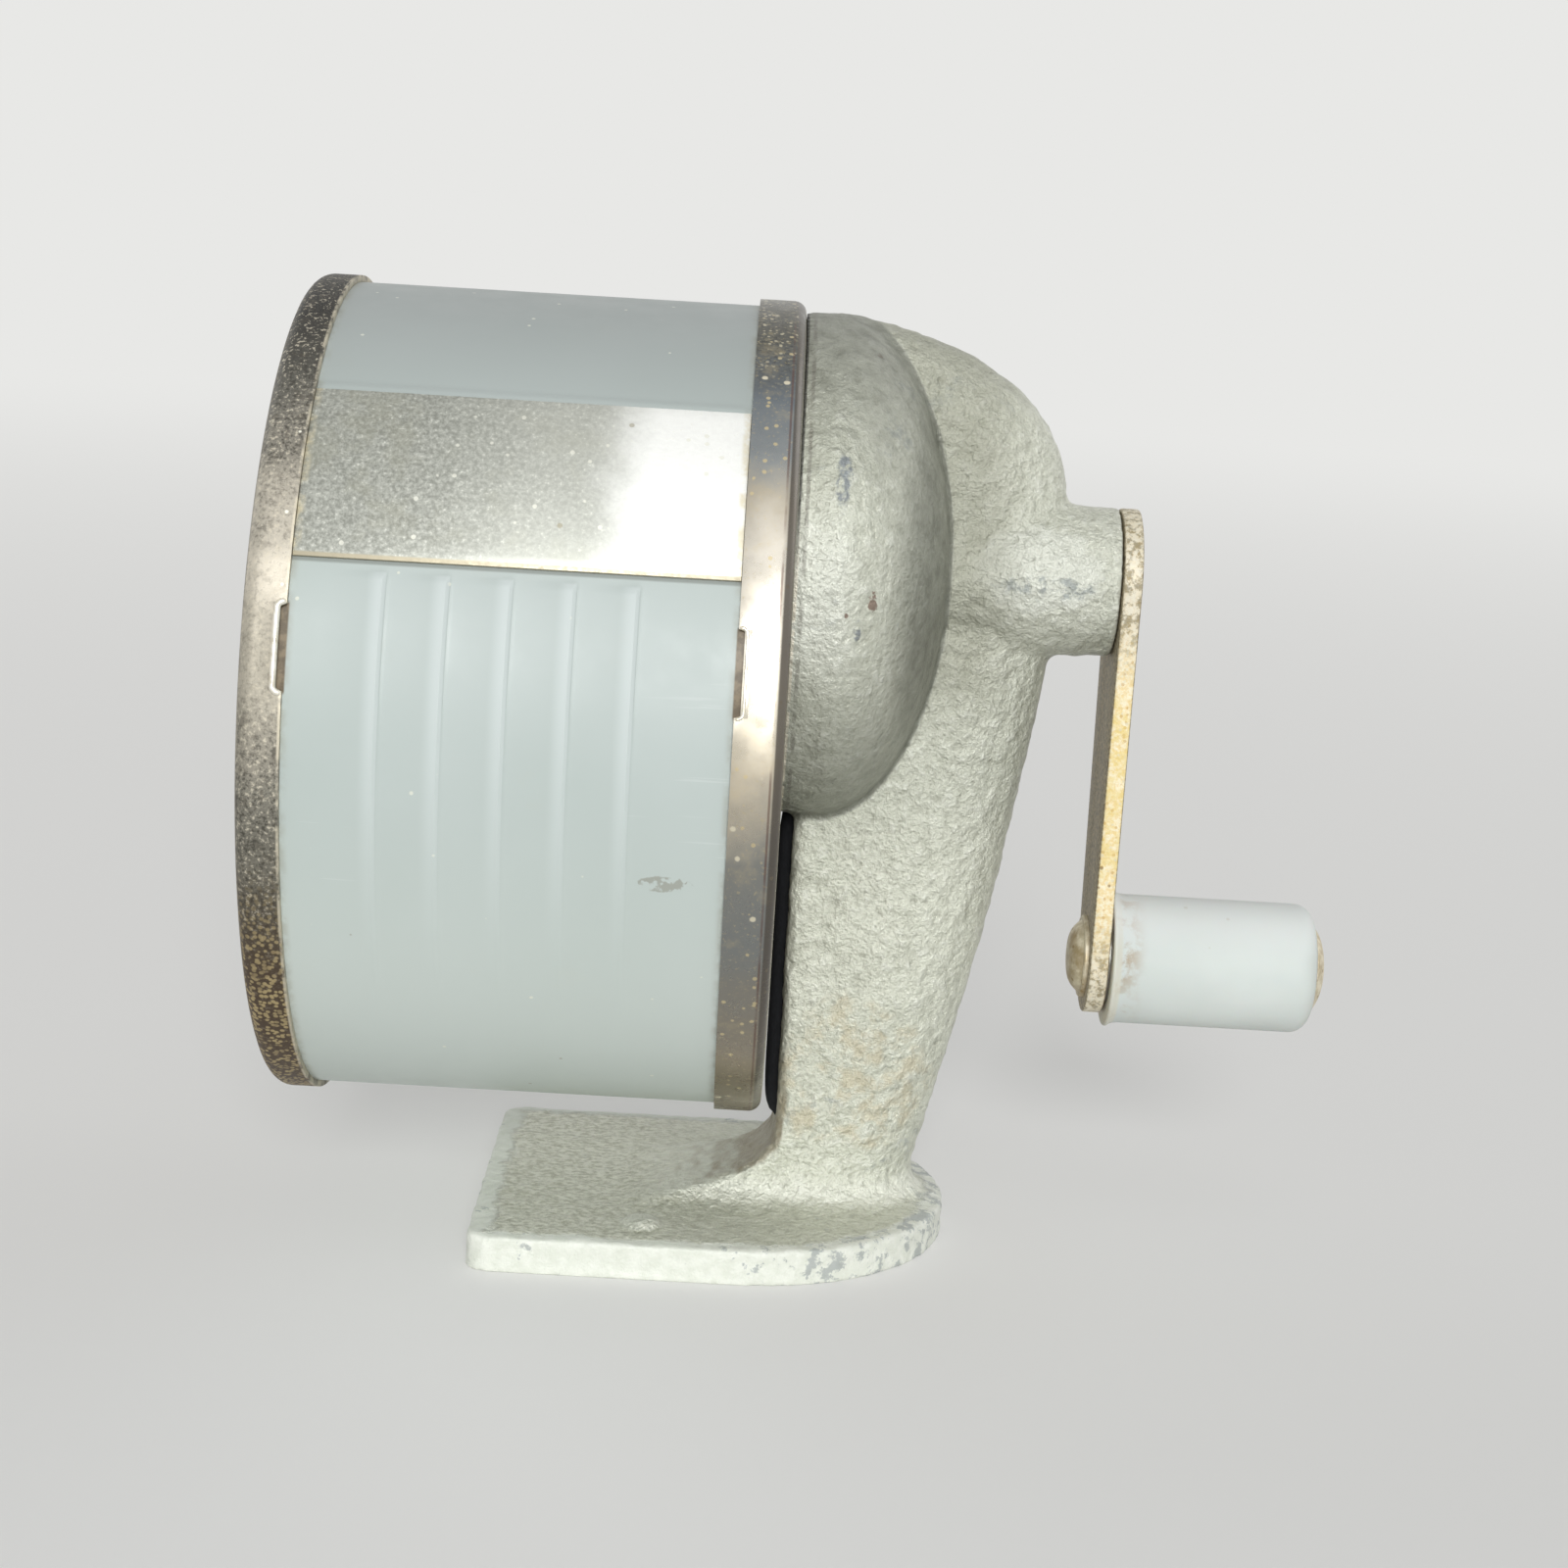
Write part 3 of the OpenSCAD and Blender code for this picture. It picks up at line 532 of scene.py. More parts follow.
    # the base plate: streaked grain on top, paler towards the front
    on_top = f.wobble(above, 1.3 * MM, 240, 4, 0.62)
    streak = f.noise(1500, 5, 0.70, 0.0, f.stretch(0.75, 1.15, 1.0))
    top_streaks = f.mix(f.remap(streak, 0.38, 0.60), (186, 185, 164), (248, 248, 234))
    along = f.add(f.x, f.mul(f.noise(70, 3, 0.5), 12 * MM))
    worn = f.remap(along, -8 * MM, 16 * MM, 0.74, 0.06)
    f.tint(top_streaks, f.remap(on_top, 2.2 * MM, 0.1 * MM), worn)
    # the nub painted paler, a painted highlight on its top
    nub = (NUB_X / MM, NUB_Y / MM, BASE_TOP / MM + 0.5)
    f.tint((222, 224, 212), f.blotch(nub, (2.7, 2.7, 2.0), 500, 0.2), 0.60)

    # its cream sides, which run about 1 mm onto the top, and their chips
    past = f.math("MAXIMUM", f.sub(f.x, BASE_ROUND_X), 0.0)
    reach = f.length(past, f.y)
    from_end = f.mul(f.sub(f.x, cast_lo.x), 0.8)
    inset = f.math("MINIMUM", f.sub(BASE_HALF_W, reach), from_end)
    ragged = f.wobble(inset, 3.6 * MM, 330, 5, 0.65)
    side = f.mul(f.remap(ragged, 2.5 * MM, 1.3 * MM), f.remap(above, 0.7 * MM, 0.3 * MM))
    side = f.either(side, f.remap(above, -0.25 * MM, -0.75 * MM))
    f.tint(f.mix(f.patches(700, 4, 0.6, 0.35, 0.65), (231, 235, 223), (241, 244, 234)), side)
    more = f.remap(f.x, BASE_ROUND_X - 6 * MM, BASE_ROUND_X + 10 * MM, 0.0, 0.12)
    chips = f.remap(f.add(f.noise(420, 6, 0.70), more), 0.62, 0.68)
    f.tint((150, 158, 160), side, chips, 0.66)

    calm = f.blend(f.either(side, f.mul(housing, 0.35)), 1.0, 0.30)
    coarse = f.add(f.mul(lumps, 0.6), f.mul(rough, 0.4))
    n = f.bump(f.mul(coarse, calm), 1.0, 0.70 * MM)
    n = f.bump(f.mul(fine, calm), 1.0, 0.36 * MM, n)
    n = f.bump(grain, 0.6, 0.10 * MM, n)
    return f.done(
        Metallic=f.blend(side, 0.32, 0.0),
        Roughness=f.remap(grain, 0.2, 0.8, 0.32, 0.46),
        Normal=n,
    )


def shell_plastic():
    """Pale grey moulded plastic with dust specks and fine scratches, painted light low down,
    painted shade at the top and under the plate, painted highlights on the flute crests, and grime
    with painted shade at the crimps.
    """
    f = Finish("shell_plastic")
    turn = f.turn()
    f.colour = f.mix(f.patches(26, 3, 0.5, 0.3, 0.7), (188, 199, 195), (195, 205, 202))
    f.tint((196, 196, 176), f.patches(90, 4, 0.62, 0.60, 0.80), 0.18)
    scratch = f.noise(60, 2, 0.5, 0.0, f.stretch(1.0, 1.0, 26.0))
    upright = f.within(turn, -50, -40, 28, 38)
    lines = f.mul(f.remap(scratch, 0.67, 0.70), f.patches(34, 2, 0.5, 0.54, 0.62))
    f.tint((222, 228, 226), lines, upright, 0.25)
    # lighter below level, painted light on the drum's underside
    f.tint((218, 226, 219), f.remap(turn, 2, -40), 0.45)
    # darker towards the top, painted shade
    f.tint((156, 160, 160), f.remap(turn, 26, 78), 0.55)
    f.tint((230, 232, 218), f.specks(420, 0.085, 0.22), 0.8)
    f.tint((134, 122, 98), f.specks(300, 0.06, 0.14), 0.5)

    # painted highlight along the crests of the grip flutes
    step = f.math("FRACT", f.mul(f.sub(f.x, FLUTE_X[0]), 1 / FLUTE_PITCH))
    crest_highlight = f.mul(f.within(step, 0.66, 0.90, 0.975, 0.995), f.remap(turn, -34, 16))
    crest_highlight = f.mul(crest_highlight, f.remap(turn, FLUTE_TOP, FLUTE_TOP - 0.5))
    crest_highlight = f.mul(crest_highlight, f.math("LESS_THAN", f.x, FLUTE_X[-1]))
    crest_highlight = f.mul(crest_highlight, f.math("GREATER_THAN", f.x, FLUTE_X[0] - FLUTE_PITCH))
    f.tint((222, 231, 230), crest_highlight, 0.55)

    # a scuff low down, grime along both skirts, a painted shadow under the plate, and grime with
    # painted shade in the crimp notches
    smudge = f.blotch((-6.2, -44, 47.6), (2.6, 30, 0.8), 420, 1.2)
    f.tint((128, 120, 100), smudge, f.patches(900, 3, 0.6, 0.46, 0.54), 0.48)
    shown = f.math("MINIMUM", f.sub(f.x, SKIRT_FRONT_X), f.sub(SKIRT_REAR_X, f.x))
    edge = f.mul(f.remap(shown, 0.9 * MM, 0.1 * MM), f.patches(500, 4, 0.6, 0.35, 0.65))
    f.tint((150, 146, 128), edge, 0.35)
    plate_shadow = f.mul(f.band(PLATE_LOW - 0.32, PLATE_LOW - 0.1, 0.35), f.remap(f.y, 0.0, -1 * MM))
    f.tint((112, 116, 110), plate_shadow, 0.6)
    # grime and painted shade in the recesses of the crimp notches
    slot = f.mul(f.band(CRIMP_LOW, CRIMP_HIGH, 0.5), f.remap(shown, 0.25 * MM, 0.05 * MM))
    f.tint(f.mix(f.patches(900, 4, 0.6, 0.4, 0.6), (104, 92, 72), (136, 122, 98)), slot)

    n = f.bump(f.noise(48, 2, 0.5), 0.30, 0.4 * MM)
    n = f.bump(f.mul(scratch, upright), 0.10, 0.05 * MM, n)
    return f.done(
        Roughness=f.patches(210, 3, 0.6, 0.3, 0.7, 0.36, 0.46),
        Specular_IOR_Level=0.32,
        Normal=n,
    )


def front_nickel():
    """Front cap: worn nickel with salt-and-pepper tarnish, brown with gold specks low down; dark at
    the top, partly tarnish and partly painted reflection, with a painted highlight in a band a
    little above level.
    """
    f = Finish("cap_nickel")
    turn = f.wobble(f.turn(), 26.0, 120, 4, 0.6)
    # darkest at the top, partly tarnish and partly painted reflection, and brightest in a band a
    # little above level, a painted highlight
    f.colour = f.ramp(turn, -90, 90, (
        (-75, (72, 60, 46)), (-52, (90, 78, 61)), (-24, (104, 101, 90)), (-8, (136, 133, 122)),
        (4, (158, 153, 140)), (13, (182, 176, 161)), (25, (208, 201, 186)),
        (36, (160, 155, 143)), (48, (112, 110, 102)), (68, (38, 37, 34)),
    ))
    fine = f.noise(2300, 3, 0.7)
    mid = f.noise(900, 4, 0.65)
    face = f.remap(f.math("ABSOLUTE", f.normal_x()), 0.80, 0.97)
    worn = f.mix(f.patches(90, 5, 0.62, 0.36, 0.64), (122, 118, 107), (178, 172, 158))
    f.tint(worn, face, 0.9)
    # the speckled tarnish is thinner in the band of the painted highlight
    clear = f.mul(f.within(turn, -4, 14, 26, 42), f.unless(face))
    calm = f.unless(f.mul(face, 0.5))
    f.tint((60, 57, 50), f.remap(fine, 0.50, 0.36), f.blend(clear, 0.72, 0.26), calm)
    f.tint((224, 216, 196), f.remap(fine, 0.54, 0.66), f.blend(clear, 0.72, 0.35), calm)
    f.tint((84, 78, 68), f.remap(mid, 0.47, 0.36), f.blend(clear, 0.45, 0.22))
    low = f.mul(f.remap(f.turn(), -12, -34), f.unless(f.mul(face, 0.85)))
    spots = f.mul(
        f.remap(f.voronoi(1800).outputs["Distance"], 0.54, 0.34),
        f.patches(520, 3, 0.6, 0.34, 0.58, 0.45, 1.0),
    )
    f.tint((84, 67, 50), low, 0.80)
    f.tint((204, 184, 136), low, spots, 0.74)
    f.tint((238, 236, 222), f.specks(430, 0.10, 0.22))
    lip = f.remap(f.x, front_hi.x - 0.32 * MM, front_hi.x - 0.15 * MM)
    f.tint((220, 212, 190), lip, f.patches(420, 4, 0.6, 0.38, 0.56), 0.7)
    relief = f.add(f.mul(fine, 0.5), f.mul(mid, 0.5))
    return f.done(
        Metallic=0.55,
        Roughness=f.remap(fine, 0.3, 0.7, 0.46, 0.62),
        Normal=f.bump(relief, 0.4, 0.08 * MM),
    )


def rear_nickel():
    """Rear cap: smooth plate, with a blue-grey film above, a gold one below and pale specks, a
    painted highlight a little above level and painted shade on its rounded rear corner.
    """
    f = Finish("cap_nickel_rear")
    turn = f.wobble(f.turn(), 16.0, 150, 5, 0.62)
    # brightest in a band a little above level, a painted highlight
    f.colour = f.ramp(turn, -90, 90, (
        (-80, (130, 118, 100)), (-46, (154, 143, 126)), (-22, (137, 139, 137)),
        (-11, (144, 144, 139)), (0, (206, 196, 176)), (8, (222, 215, 198)),
        (28, (218, 212, 200)), (35, (188, 180, 164)), (43, (152, 156, 157)),
        (54, (118, 125, 131)), (66, (92, 92, 86)), (80, (82, 80, 70)),
    ))
    cloud = f.noise(320, 5, 0.66)
    top = f.remap(f.turn(), 52, 66)
    f.tint((150, 142, 118), f.patches(1300, 4, 0.66, 0.52, 0.66), top, 0.8)
    f.tint((48, 46, 40), f.patches(2100, 3, 0.66, 0.50, 0.38), top, 0.6)
    f.tint((196, 182, 148), f.remap(cloud, 0.54, 0.68), 0.22)
    f.tint((206, 190, 150), f.patches(2600, 3, 0.6, 0.58, 0.70), 0.35)
    f.tint((232, 224, 200), f.specks(420, 0.14, 0.34), 0.95)
    f.tint((206, 198, 172), f.specks(1500, 0.28, 0.5), top, 0.8)
    f.tint((214, 198, 158), f.specks(1000, 0.24, 0.22), 0.8)
    # the rounded rear corner painted dark, a painted shade
    from_back = f.sub(f.x, BACK_X)
    f.tint((98, 92, 85), f.remap(from_back, -0.98 * MM, -0.80 * MM), 0.88)
    disc = f.remap(f.math("ABSOLUTE", f.normal_x()), 0.86, 0.98)
    worn = f.mix(f.patches(80, 5, 0.62, 0.36, 0.64), (128, 121, 109), (164, 157, 142))
    f.tint(worn, disc, 0.85)
    line = f.within(from_back, -1.34 * MM, -1.24 * MM, -1.12 * MM, -1.02 * MM)
    f.tint((104, 72, 62), line, f.patches(110, 4, 0.6, 0.35, 0.55), 0.6)
    n = f.bump(f.noise(60, 2, 0.5), 0.10, 0.4 * MM)
    n = f.bump(f.noise(1500, 3, 0.6), 0.12, 0.03 * MM, n)
    return f.done(Metallic=0.85, Roughness=f.remap(cloud, 0.3, 0.7, 0.24, 0.36), Normal=n)


def plate_aluminium():
    """Bare rolled plate: mottled, with faint grain along the drum, and a painted highlight that
    whitens it towards the rear.
    """
    f = Finish("plate_aluminium")
    grain = f.noise(300, 4, 0.6, 0.0, f.stretch(0.05, 1.0, 7.0))
    mottle = f.noise(2300, 4, 0.72)
    f.colour = f.mix(f.remap(mottle, 0.36, 0.64), (150, 152, 144), (188, 190, 182))
    f.tint((214, 216, 208), f.remap(grain, 0.35, 0.65), 0.10)
    f.tint((166, 166, 150), f.patches(170, 5, 0.66, 0.48, 0.66), 0.35)
    # painted highlight: the plate turns paler, then near white, towards the rear
    highlight_reach = f.wobble(f.x, 9 * MM, 90, 5, 0.66)
    f.tint((214, 216, 208), f.remap(highlight_reach, -32 * MM, -18 * MM), 0.42)
    f.tint((252, 253, 250), f.remap(highlight_reach, -17 * MM, -9 * MM))
    f.tint((236, 237, 228), f.remap(mottle, 0.60, 0.68), 0.5)
    f.tint((238, 238, 226), f.specks(620, 0.16, 0.34), 0.7)
    f.tint((150, 138, 104), f.specks(330, 0.10, 0.16), 0.5)
    end = f.math("MINIMUM", f.sub(f.x, plate_lo.x), f.sub(plate_hi.x, f.x))
    grime = f.mul(f.remap(end, 0.9 * MM, 0.4 * MM), f.patches(500, 4, 0.6, 0.35, 0.6))
    f.tint((226, 216, 184), grime, 0.7)
    f.tint((178, 170, 148), f.remap(f.turn(), PLATE_LOW + 0.75, PLATE_LOW + 0.45), 0.95)
    n = f.bump(grain, 0.05, 0.03 * MM)
    n = f.bump(mottle, 0.30, 0.04 * MM, n)
    return f.done(Metallic=0.8, Roughness=f.remap(mottle, 0.3, 0.7, 0.42, 0.58), Normal=n)


def arm_steel():
    """Plated strip gone dark on its faces, with cream and gilt edges and rust specks."""
    f = Finish("arm_steel")
    fine = f.noise(2300, 5, 0.70)
    mid = f.noise(700, 5, 0.66)
    edge = f.remap(f.math("ABSOLUTE", f.normal_x()), 0.80, 0.45)
    middle = f.within(f.z, KNOB_Z - 2 * MM, KNOB_Z + 8 * MM, CRANK_Z - 12 * MM, CRANK_Z - 2 * MM)

    f.colour = f.mix(f.remap(fine, 0.40, 0.60), (244, 220, 162), (253, 244, 214))
    f.tint((244, 226, 176), f.remap(mid, 0.50, 0.66), 0.45)
    f.tint((206, 164, 92), f.specks(1500, 0.30, 0.35), middle, 0.6)
    ends = f.mix(f.patches(1300, 5, 0.68, 0.40, 0.55), (104, 96, 78), (226, 221, 206))
    f.tint(ends, f.blend(middle, 0.7, 0.0))
    gilt = f.blotch((0, 0, CRANK_Z / MM - 21), (90, 90, 12), 300, 0.9)
    f.tint((236, 212, 122), gilt, f.remap(mid, 0.40, 0.60), 0.5)
    cream = f.colour

    f.colour = f.mix(f.remap(fine, 0.40, 0.60), (130, 119, 96), (196, 183, 155))
    f.tint((92, 83, 67), f.remap(mid, 0.52, 0.68), 0.40)
    f.tint(cream, edge)
    f.tint((112, 80, 46), f.specks(900, 0.2, 0.2), 0.6)
    f.tint((230, 222, 196), f.specks(1300, 0.24, 0.3), 0.6)
    relief = f.add(f.mul(fine, 0.5), f.mul(mid, 0.5))
    return f.done(
        Metallic=f.blend(edge, 0.40, 0.10),
        Roughness=f.remap(fine, 0.3, 0.7, 0.40, 0.60),
        Normal=f.bump(relief, 0.6, 0.22 * MM),
    )


def knob_plastic():
    """Pale grey plastic, with brown grime where it meets the arm."""
    f = Finish("knob_plastic")
    rise = f.sub(f.z, KNOB_Z)
    from_arm = f.sub(f.x, knob_lo.x)
    f.colour = f.mix(f.patches(60, 3, 0.5, 0.35, 0.65), (211, 217, 213), (219, 225, 221))
    grime = f.mul(f.remap(from_arm, 4.0 * MM, 0.9 * MM), f.patches(300, 5, 0.66, 0.46, 0.62))
    f.tint((160, 126, 78), grime, f.remap(rise, -3.0 * MM, 2.0 * MM, 0.35, 1.0), 0.85)
    f.tint((222, 216, 196), f.remap(from_arm, 1.15 * MM, 0.8 * MM), 0.6)
    f.tint((206, 200, 178), f.remap(f.sub(f.x, knob_hi.x), -2.2 * MM, -0.2 * MM), 0.12)
    f.tint((160, 144, 112), f.specks(420, 0.10, 0.20), 0.5)
    f.tint((240, 243, 241), f.remap(rise, 2.0 * MM, 6.0 * MM), 0.6)
    return f.done(
        Roughness=f.patches(120, 3, 0.6, 0.3, 0.7, 0.48, 0.60),
        Subsurface_Weight=0.05,
        Specular_IOR_Level=0.35,
        Normal=f.bump(f.noise(52, 2, 0.5), 0.25, 0.3 * MM),
    )


def metal(name, dark, light, rough, metallic, scale, tarnish=None, depth=0.05 * MM):
    """A plain worked metal with fine variation and, if named, a tarnish colour in blotches."""
    f = Finish(name)
    fine = f.noise(scale, 4, 0.6)
    f.colour = f.mix(f.remap(fine, 0.35, 0.65), dark, light)
    if tarnish:
        f.tint(tarnish, f.patches(scale * 0.22, 5, 0.64, 0.48, 0.66), 0.7)
        f.tint(tarnish, f.specks(scale * 1.1, 0.24, 0.4), 0.8)
    return f.done(
        Metallic=metallic,
        Roughness=f.remap(fine, 0.3, 0.7, *rough),
        Normal=f.bump(fine, 0.3, depth),
    )


CASTING = casting_paint()
SHELL = shell_plastic()
FRONT_NICKEL = front_nickel()
REAR_NICKEL = rear_nickel()
PLATE = plate_aluminium()
ARM = arm_steel()
KNOB = knob_plastic()
DIAL = metal(
    "dial_nickel", (150, 146, 136), (196, 192, 180), (0.26, 0.42), 0.85, 900, (96, 88, 74)
)
RIVET = metal(
    "rivet_brassy", (206, 194, 164), (236, 228, 206), (0.42, 0.6), 0.45, 900, (160, 136, 92)
)
# near-white nickel for the crimp beads, partly a painted highlight
BEAD = metal("bead_nickel", (226, 219, 200), (250, 247, 236), (0.26, 0.40), 0.6, 900)
ZINC = metal("zinc_plate", (158, 158, 152), (196, 196, 190), (0.3, 0.42), 1.0, 500)
DULL = metal(
    "dull_plate", (120, 118, 108), (150, 148, 138), (0.35, 0.5), 0.9, 420, (84, 74, 58)
)
GEAR = metal("gear_steel", (104, 104, 104), (140, 140, 138), (0.25, 0.4), 1.0, 700)
CARRIER = metal(
    "carrier_cast", (136, 136, 132), (164, 164, 160), (0.42, 0.55), 0.8, 800, depth=0.1 * MM
)
CUTTER = metal(
    "cutter_steel", (124, 126, 130), (166, 168, 172), (0.2, 0.34), 1.0, 900, (92, 84, 70)
)
BRASS = metal("washer_brass", (176, 146, 84), (204, 176, 112), (0.28, 0.42), 1.0, 600)
# black strip material for the painted shade in the gap behind the drum
GAP_BLACK = metal("gap_shade_black", (14, 16, 20), (26, 28, 32), (0.85, 0.95), 0.0, 2400, depth=0.2 * MM)
SPRING = metal("spring_steel", (140, 140, 142), (172, 172, 174), (0.22, 0.32), 1.0, 500)


# ---------------------------------------------------------------- stand

def soften(bm, verts, times):
    for _ in range(times):
        bmesh.ops.smooth_vert(
            bm, verts=verts, factor=0.5, use_axis_x=True, use_axis_y=True, use_axis_z=True
        )


def casting():
    """The stand as a cast body: fillets at its creases, rounded edges, an uneven sand-cast skin."""
    voxel = 0.37 * MM
    boss_r, boss_x, boss_end = 7.0 * MM, 24 * MM, cast_hi.x
    bore_r, bore_reach = 3.62 * MM, 4.4 * MM
    room_x, room_end, room_r = 6 * MM, 19 * MM, 24.4 * MM
    spine_half_w = 6.9 * MM
    rim_r, rim_deep = 24.6 * MM, 0.5 * MM
    housing_low = CRANK_Z - DOME_R - 1 * MM

    obj = copy_of("frame_casting", "stand_casting")
    mod = obj.modifiers.new("cast", "REMESH")
    mod.mode = "VOXEL"
    mod.voxel_size = voxel
    apply_modifiers(obj)
    bm = bmesh.new()
    bm.from_mesh(obj.data)
    bmesh.ops.triangulate(bm, faces=[f for f in bm.faces if len(f.verts) > 4])
    verts = list(bm.verts)

    def crank_r(co):
        return math.hypot(co.y, co.z - CRANK_Z)

    def at_boss_root(co):
        return 25 * MM < co.x < 36.5 * MM and 4.6 * MM < crank_r(co) < boss_r + 4 * MM

    root = [v for v in verts if at_boss_root(v.co)]
    soften(bm, verts, 3)
    soften(bm, root, 2)
    bm.normal_update()
    normals = [v.normal.copy() for v in verts]
    for v, n in zip(verts, normals):
        p = v.co  # the vertex's own vector, so it follows each change below
        r = crank_r(p)

        # the bore keeps its size, and the room inside the housing stays smooth
        if r < bore_reach and p.x > room_x:
            k = bore_r / r
            v.co = Vector((p.x, p.y * k, CRANK_Z + (p.z - CRANK_Z) * k))
            if p.x > boss_end - 0.5 * MM:
                v.co.x += ARM_GAP
            continue
        if room_x < p.x < room_end and r < room_r:
            continue

        # the sand-cast skin, finer on the housing and calm at the table and the boss's end
        out = math.hypot(max(0.0, p.x - DOME_X) / DOME_DEEP, r / DOME_R)
        on_dome = abs(p.y) > spine_half_w and out < 1.02 and p.x < boss_x and p.z > housing_low
        skin = noise.noise(p * 420) * 0.45 + noise.noise(p * 950 + Vector((3, 7, 1))) * 0.55
        lumps = noise.noise(p * 150)
        crags = noise.noise(p * 640 + Vector((1, 5, 9)))
        size = 0.11 if on_dome else 0.17
        lump_size = 0.05 if p.z < BASE_TOP + 0.4 * MM else 0.12
        calm = smoothstep(0.0, 1.2 * MM, p.z)
        if p.x > boss_end - 0.7 * MM:
            calm *= 0.25
        swell = skin * size + lumps * lump_size + crags * size * 0.6 - 0.10
        v.co = p + n * swell * MM * calm

        # the boss widens towards its root and meets the arm at its end
        if boss_x < p.x < boss_end and r < boss_r + 3.0 * MM:
            draft = 0.06 * (boss_end - p.x) * smoothstep(boss_x, 32 * MM, p.x)
            draft *= 1 - smoothstep(boss_r + 0.6 * MM, boss_r + 3.0 * MM, r)
            v.co += Vector((0, p.y, p.z - CRANK_Z)).normalized() * draft
        if p.x > boss_end - 0.5 * MM:
            v.co.x += ARM_GAP

        # the housing's rim reaches forward to the rear cap
        if p.x < RIM_X + 0.75 * MM and r > rim_r and p.z > housing_low:
            reach = (CAST_RIM_X + rim_deep - RIM_X) / rim_deep
            v.co.x = RIM_X + (v.co.x - CAST_RIM_X) * reach
            if n.x < -0.6 and abs(p.x - CAST_RIM_X) < 0.3 * MM:
                v.co.x = RIM_X
            v.co.x = max(v.co.x, RIM_X)

        # a small round nub on the base
        nub = math.hypot(p.x - NUB_X, p.y - NUB_Y) / NUB_R
        if nub < 1 and p.z > BASE_TOP - 0.5 * MM:
            v.co.z = max(v.co.z, BASE_TOP + NUB_H * math.sqrt(1 - nub * nub) - 0.05 * MM)
    for v in verts:
        v.co.x = min(max(v.co.x, cast_lo.x), cast_hi.x + ARM_GAP)
        v.co.z = min(max(v.co.z, cast_lo.z), cast_hi.z)
    bm.to_mesh(obj.data)
    bm.free()
    shade(obj, 60)
    place(obj, "stand", CASTING, "casting", "frame_casting")


def column_gap_strip():
    """Black strip down the front of the column, behind the drum: painted shade of the gap between
    them.
    """
    crown_x, edge_x = BACK_X + 0.4 * MM, BACK_X + 1.85 * MM
    half, low, high = 3.0 * MM, 12.6 * MM, 48.5 * MM
    rows, cols = 60, 12
    across = cols + 1
    verts, faces = [], []
    for i in range(rows + 1):
        t = i / rows
        z = low + (high - low) * t
        taper = math.sqrt(max(0.0, 1 - (2 * t - 1) ** 12))
        for j in range(across):
            u = 2 * j / cols - 1
            crown = (1 - abs(u) ** 5) * taper
            fuzz = max(0.0, 0.04 * MM * noise.noise(Vector((u * 9, z * 900, 3))))
            x = edge_x - (edge_x - crown_x) * crown + fuzz
            verts.append((x, u * half * (0.9 + 0.1 * taper), z))
    back = len(verts)
    for i in range(rows + 1):
        z = low + (high - low) * i / rows
        verts += [(edge_x + 0.1 * MM, -half, z), (edge_x + 0.1 * MM, half, z)]
    for i in range(rows):
        near, above = i * across, (i + 1) * across
        for j in range(cols):
            faces.append((near + j, near + j + 1, above + j + 1, above + j))
        a, b = back + 2 * i, back + 2 * i + 2
        faces.append((b, b + 1, a + 1, a))
        faces.append((a, near, above, b))
        faces.append((near + cols, a + 1, b + 1, above + cols))
    faces.append(tuple(range(cols, -1, -1)) + (back, back + 1))
    top = rows * across
    faces.append(tuple(range(top, top + across)) + (back + 2 * rows + 1, back + 2 * rows))
    place(mesh_piece("column_gap_shade", verts, faces, 50), "stand", GAP_BLACK, None)


# ---------------------------------------------------------------- drum

def flute(x, side):
    """Height of the grip flutes at x, at an angle above the horizontal on either side."""
    if side > FLUTE_TOP or side < FLUTE_FADE:
        return 0.0
    fade = smoothstep(FLUTE_TOP, FLUTE_TOP - 1.0, side) * smoothstep(FLUTE_FADE, 14, side) ** 1.4
    peak, end = 0.93, 1.02
    for edge in FLUTE_X:
        t = (x - edge) / FLUTE_PITCH + 1
        if 0 < t < end:
            shape = (t / peak) ** 2 if t < peak else 1 - smoothstep(peak, end, t)
            return FLUTE_H * fade * shape
    return 0.0


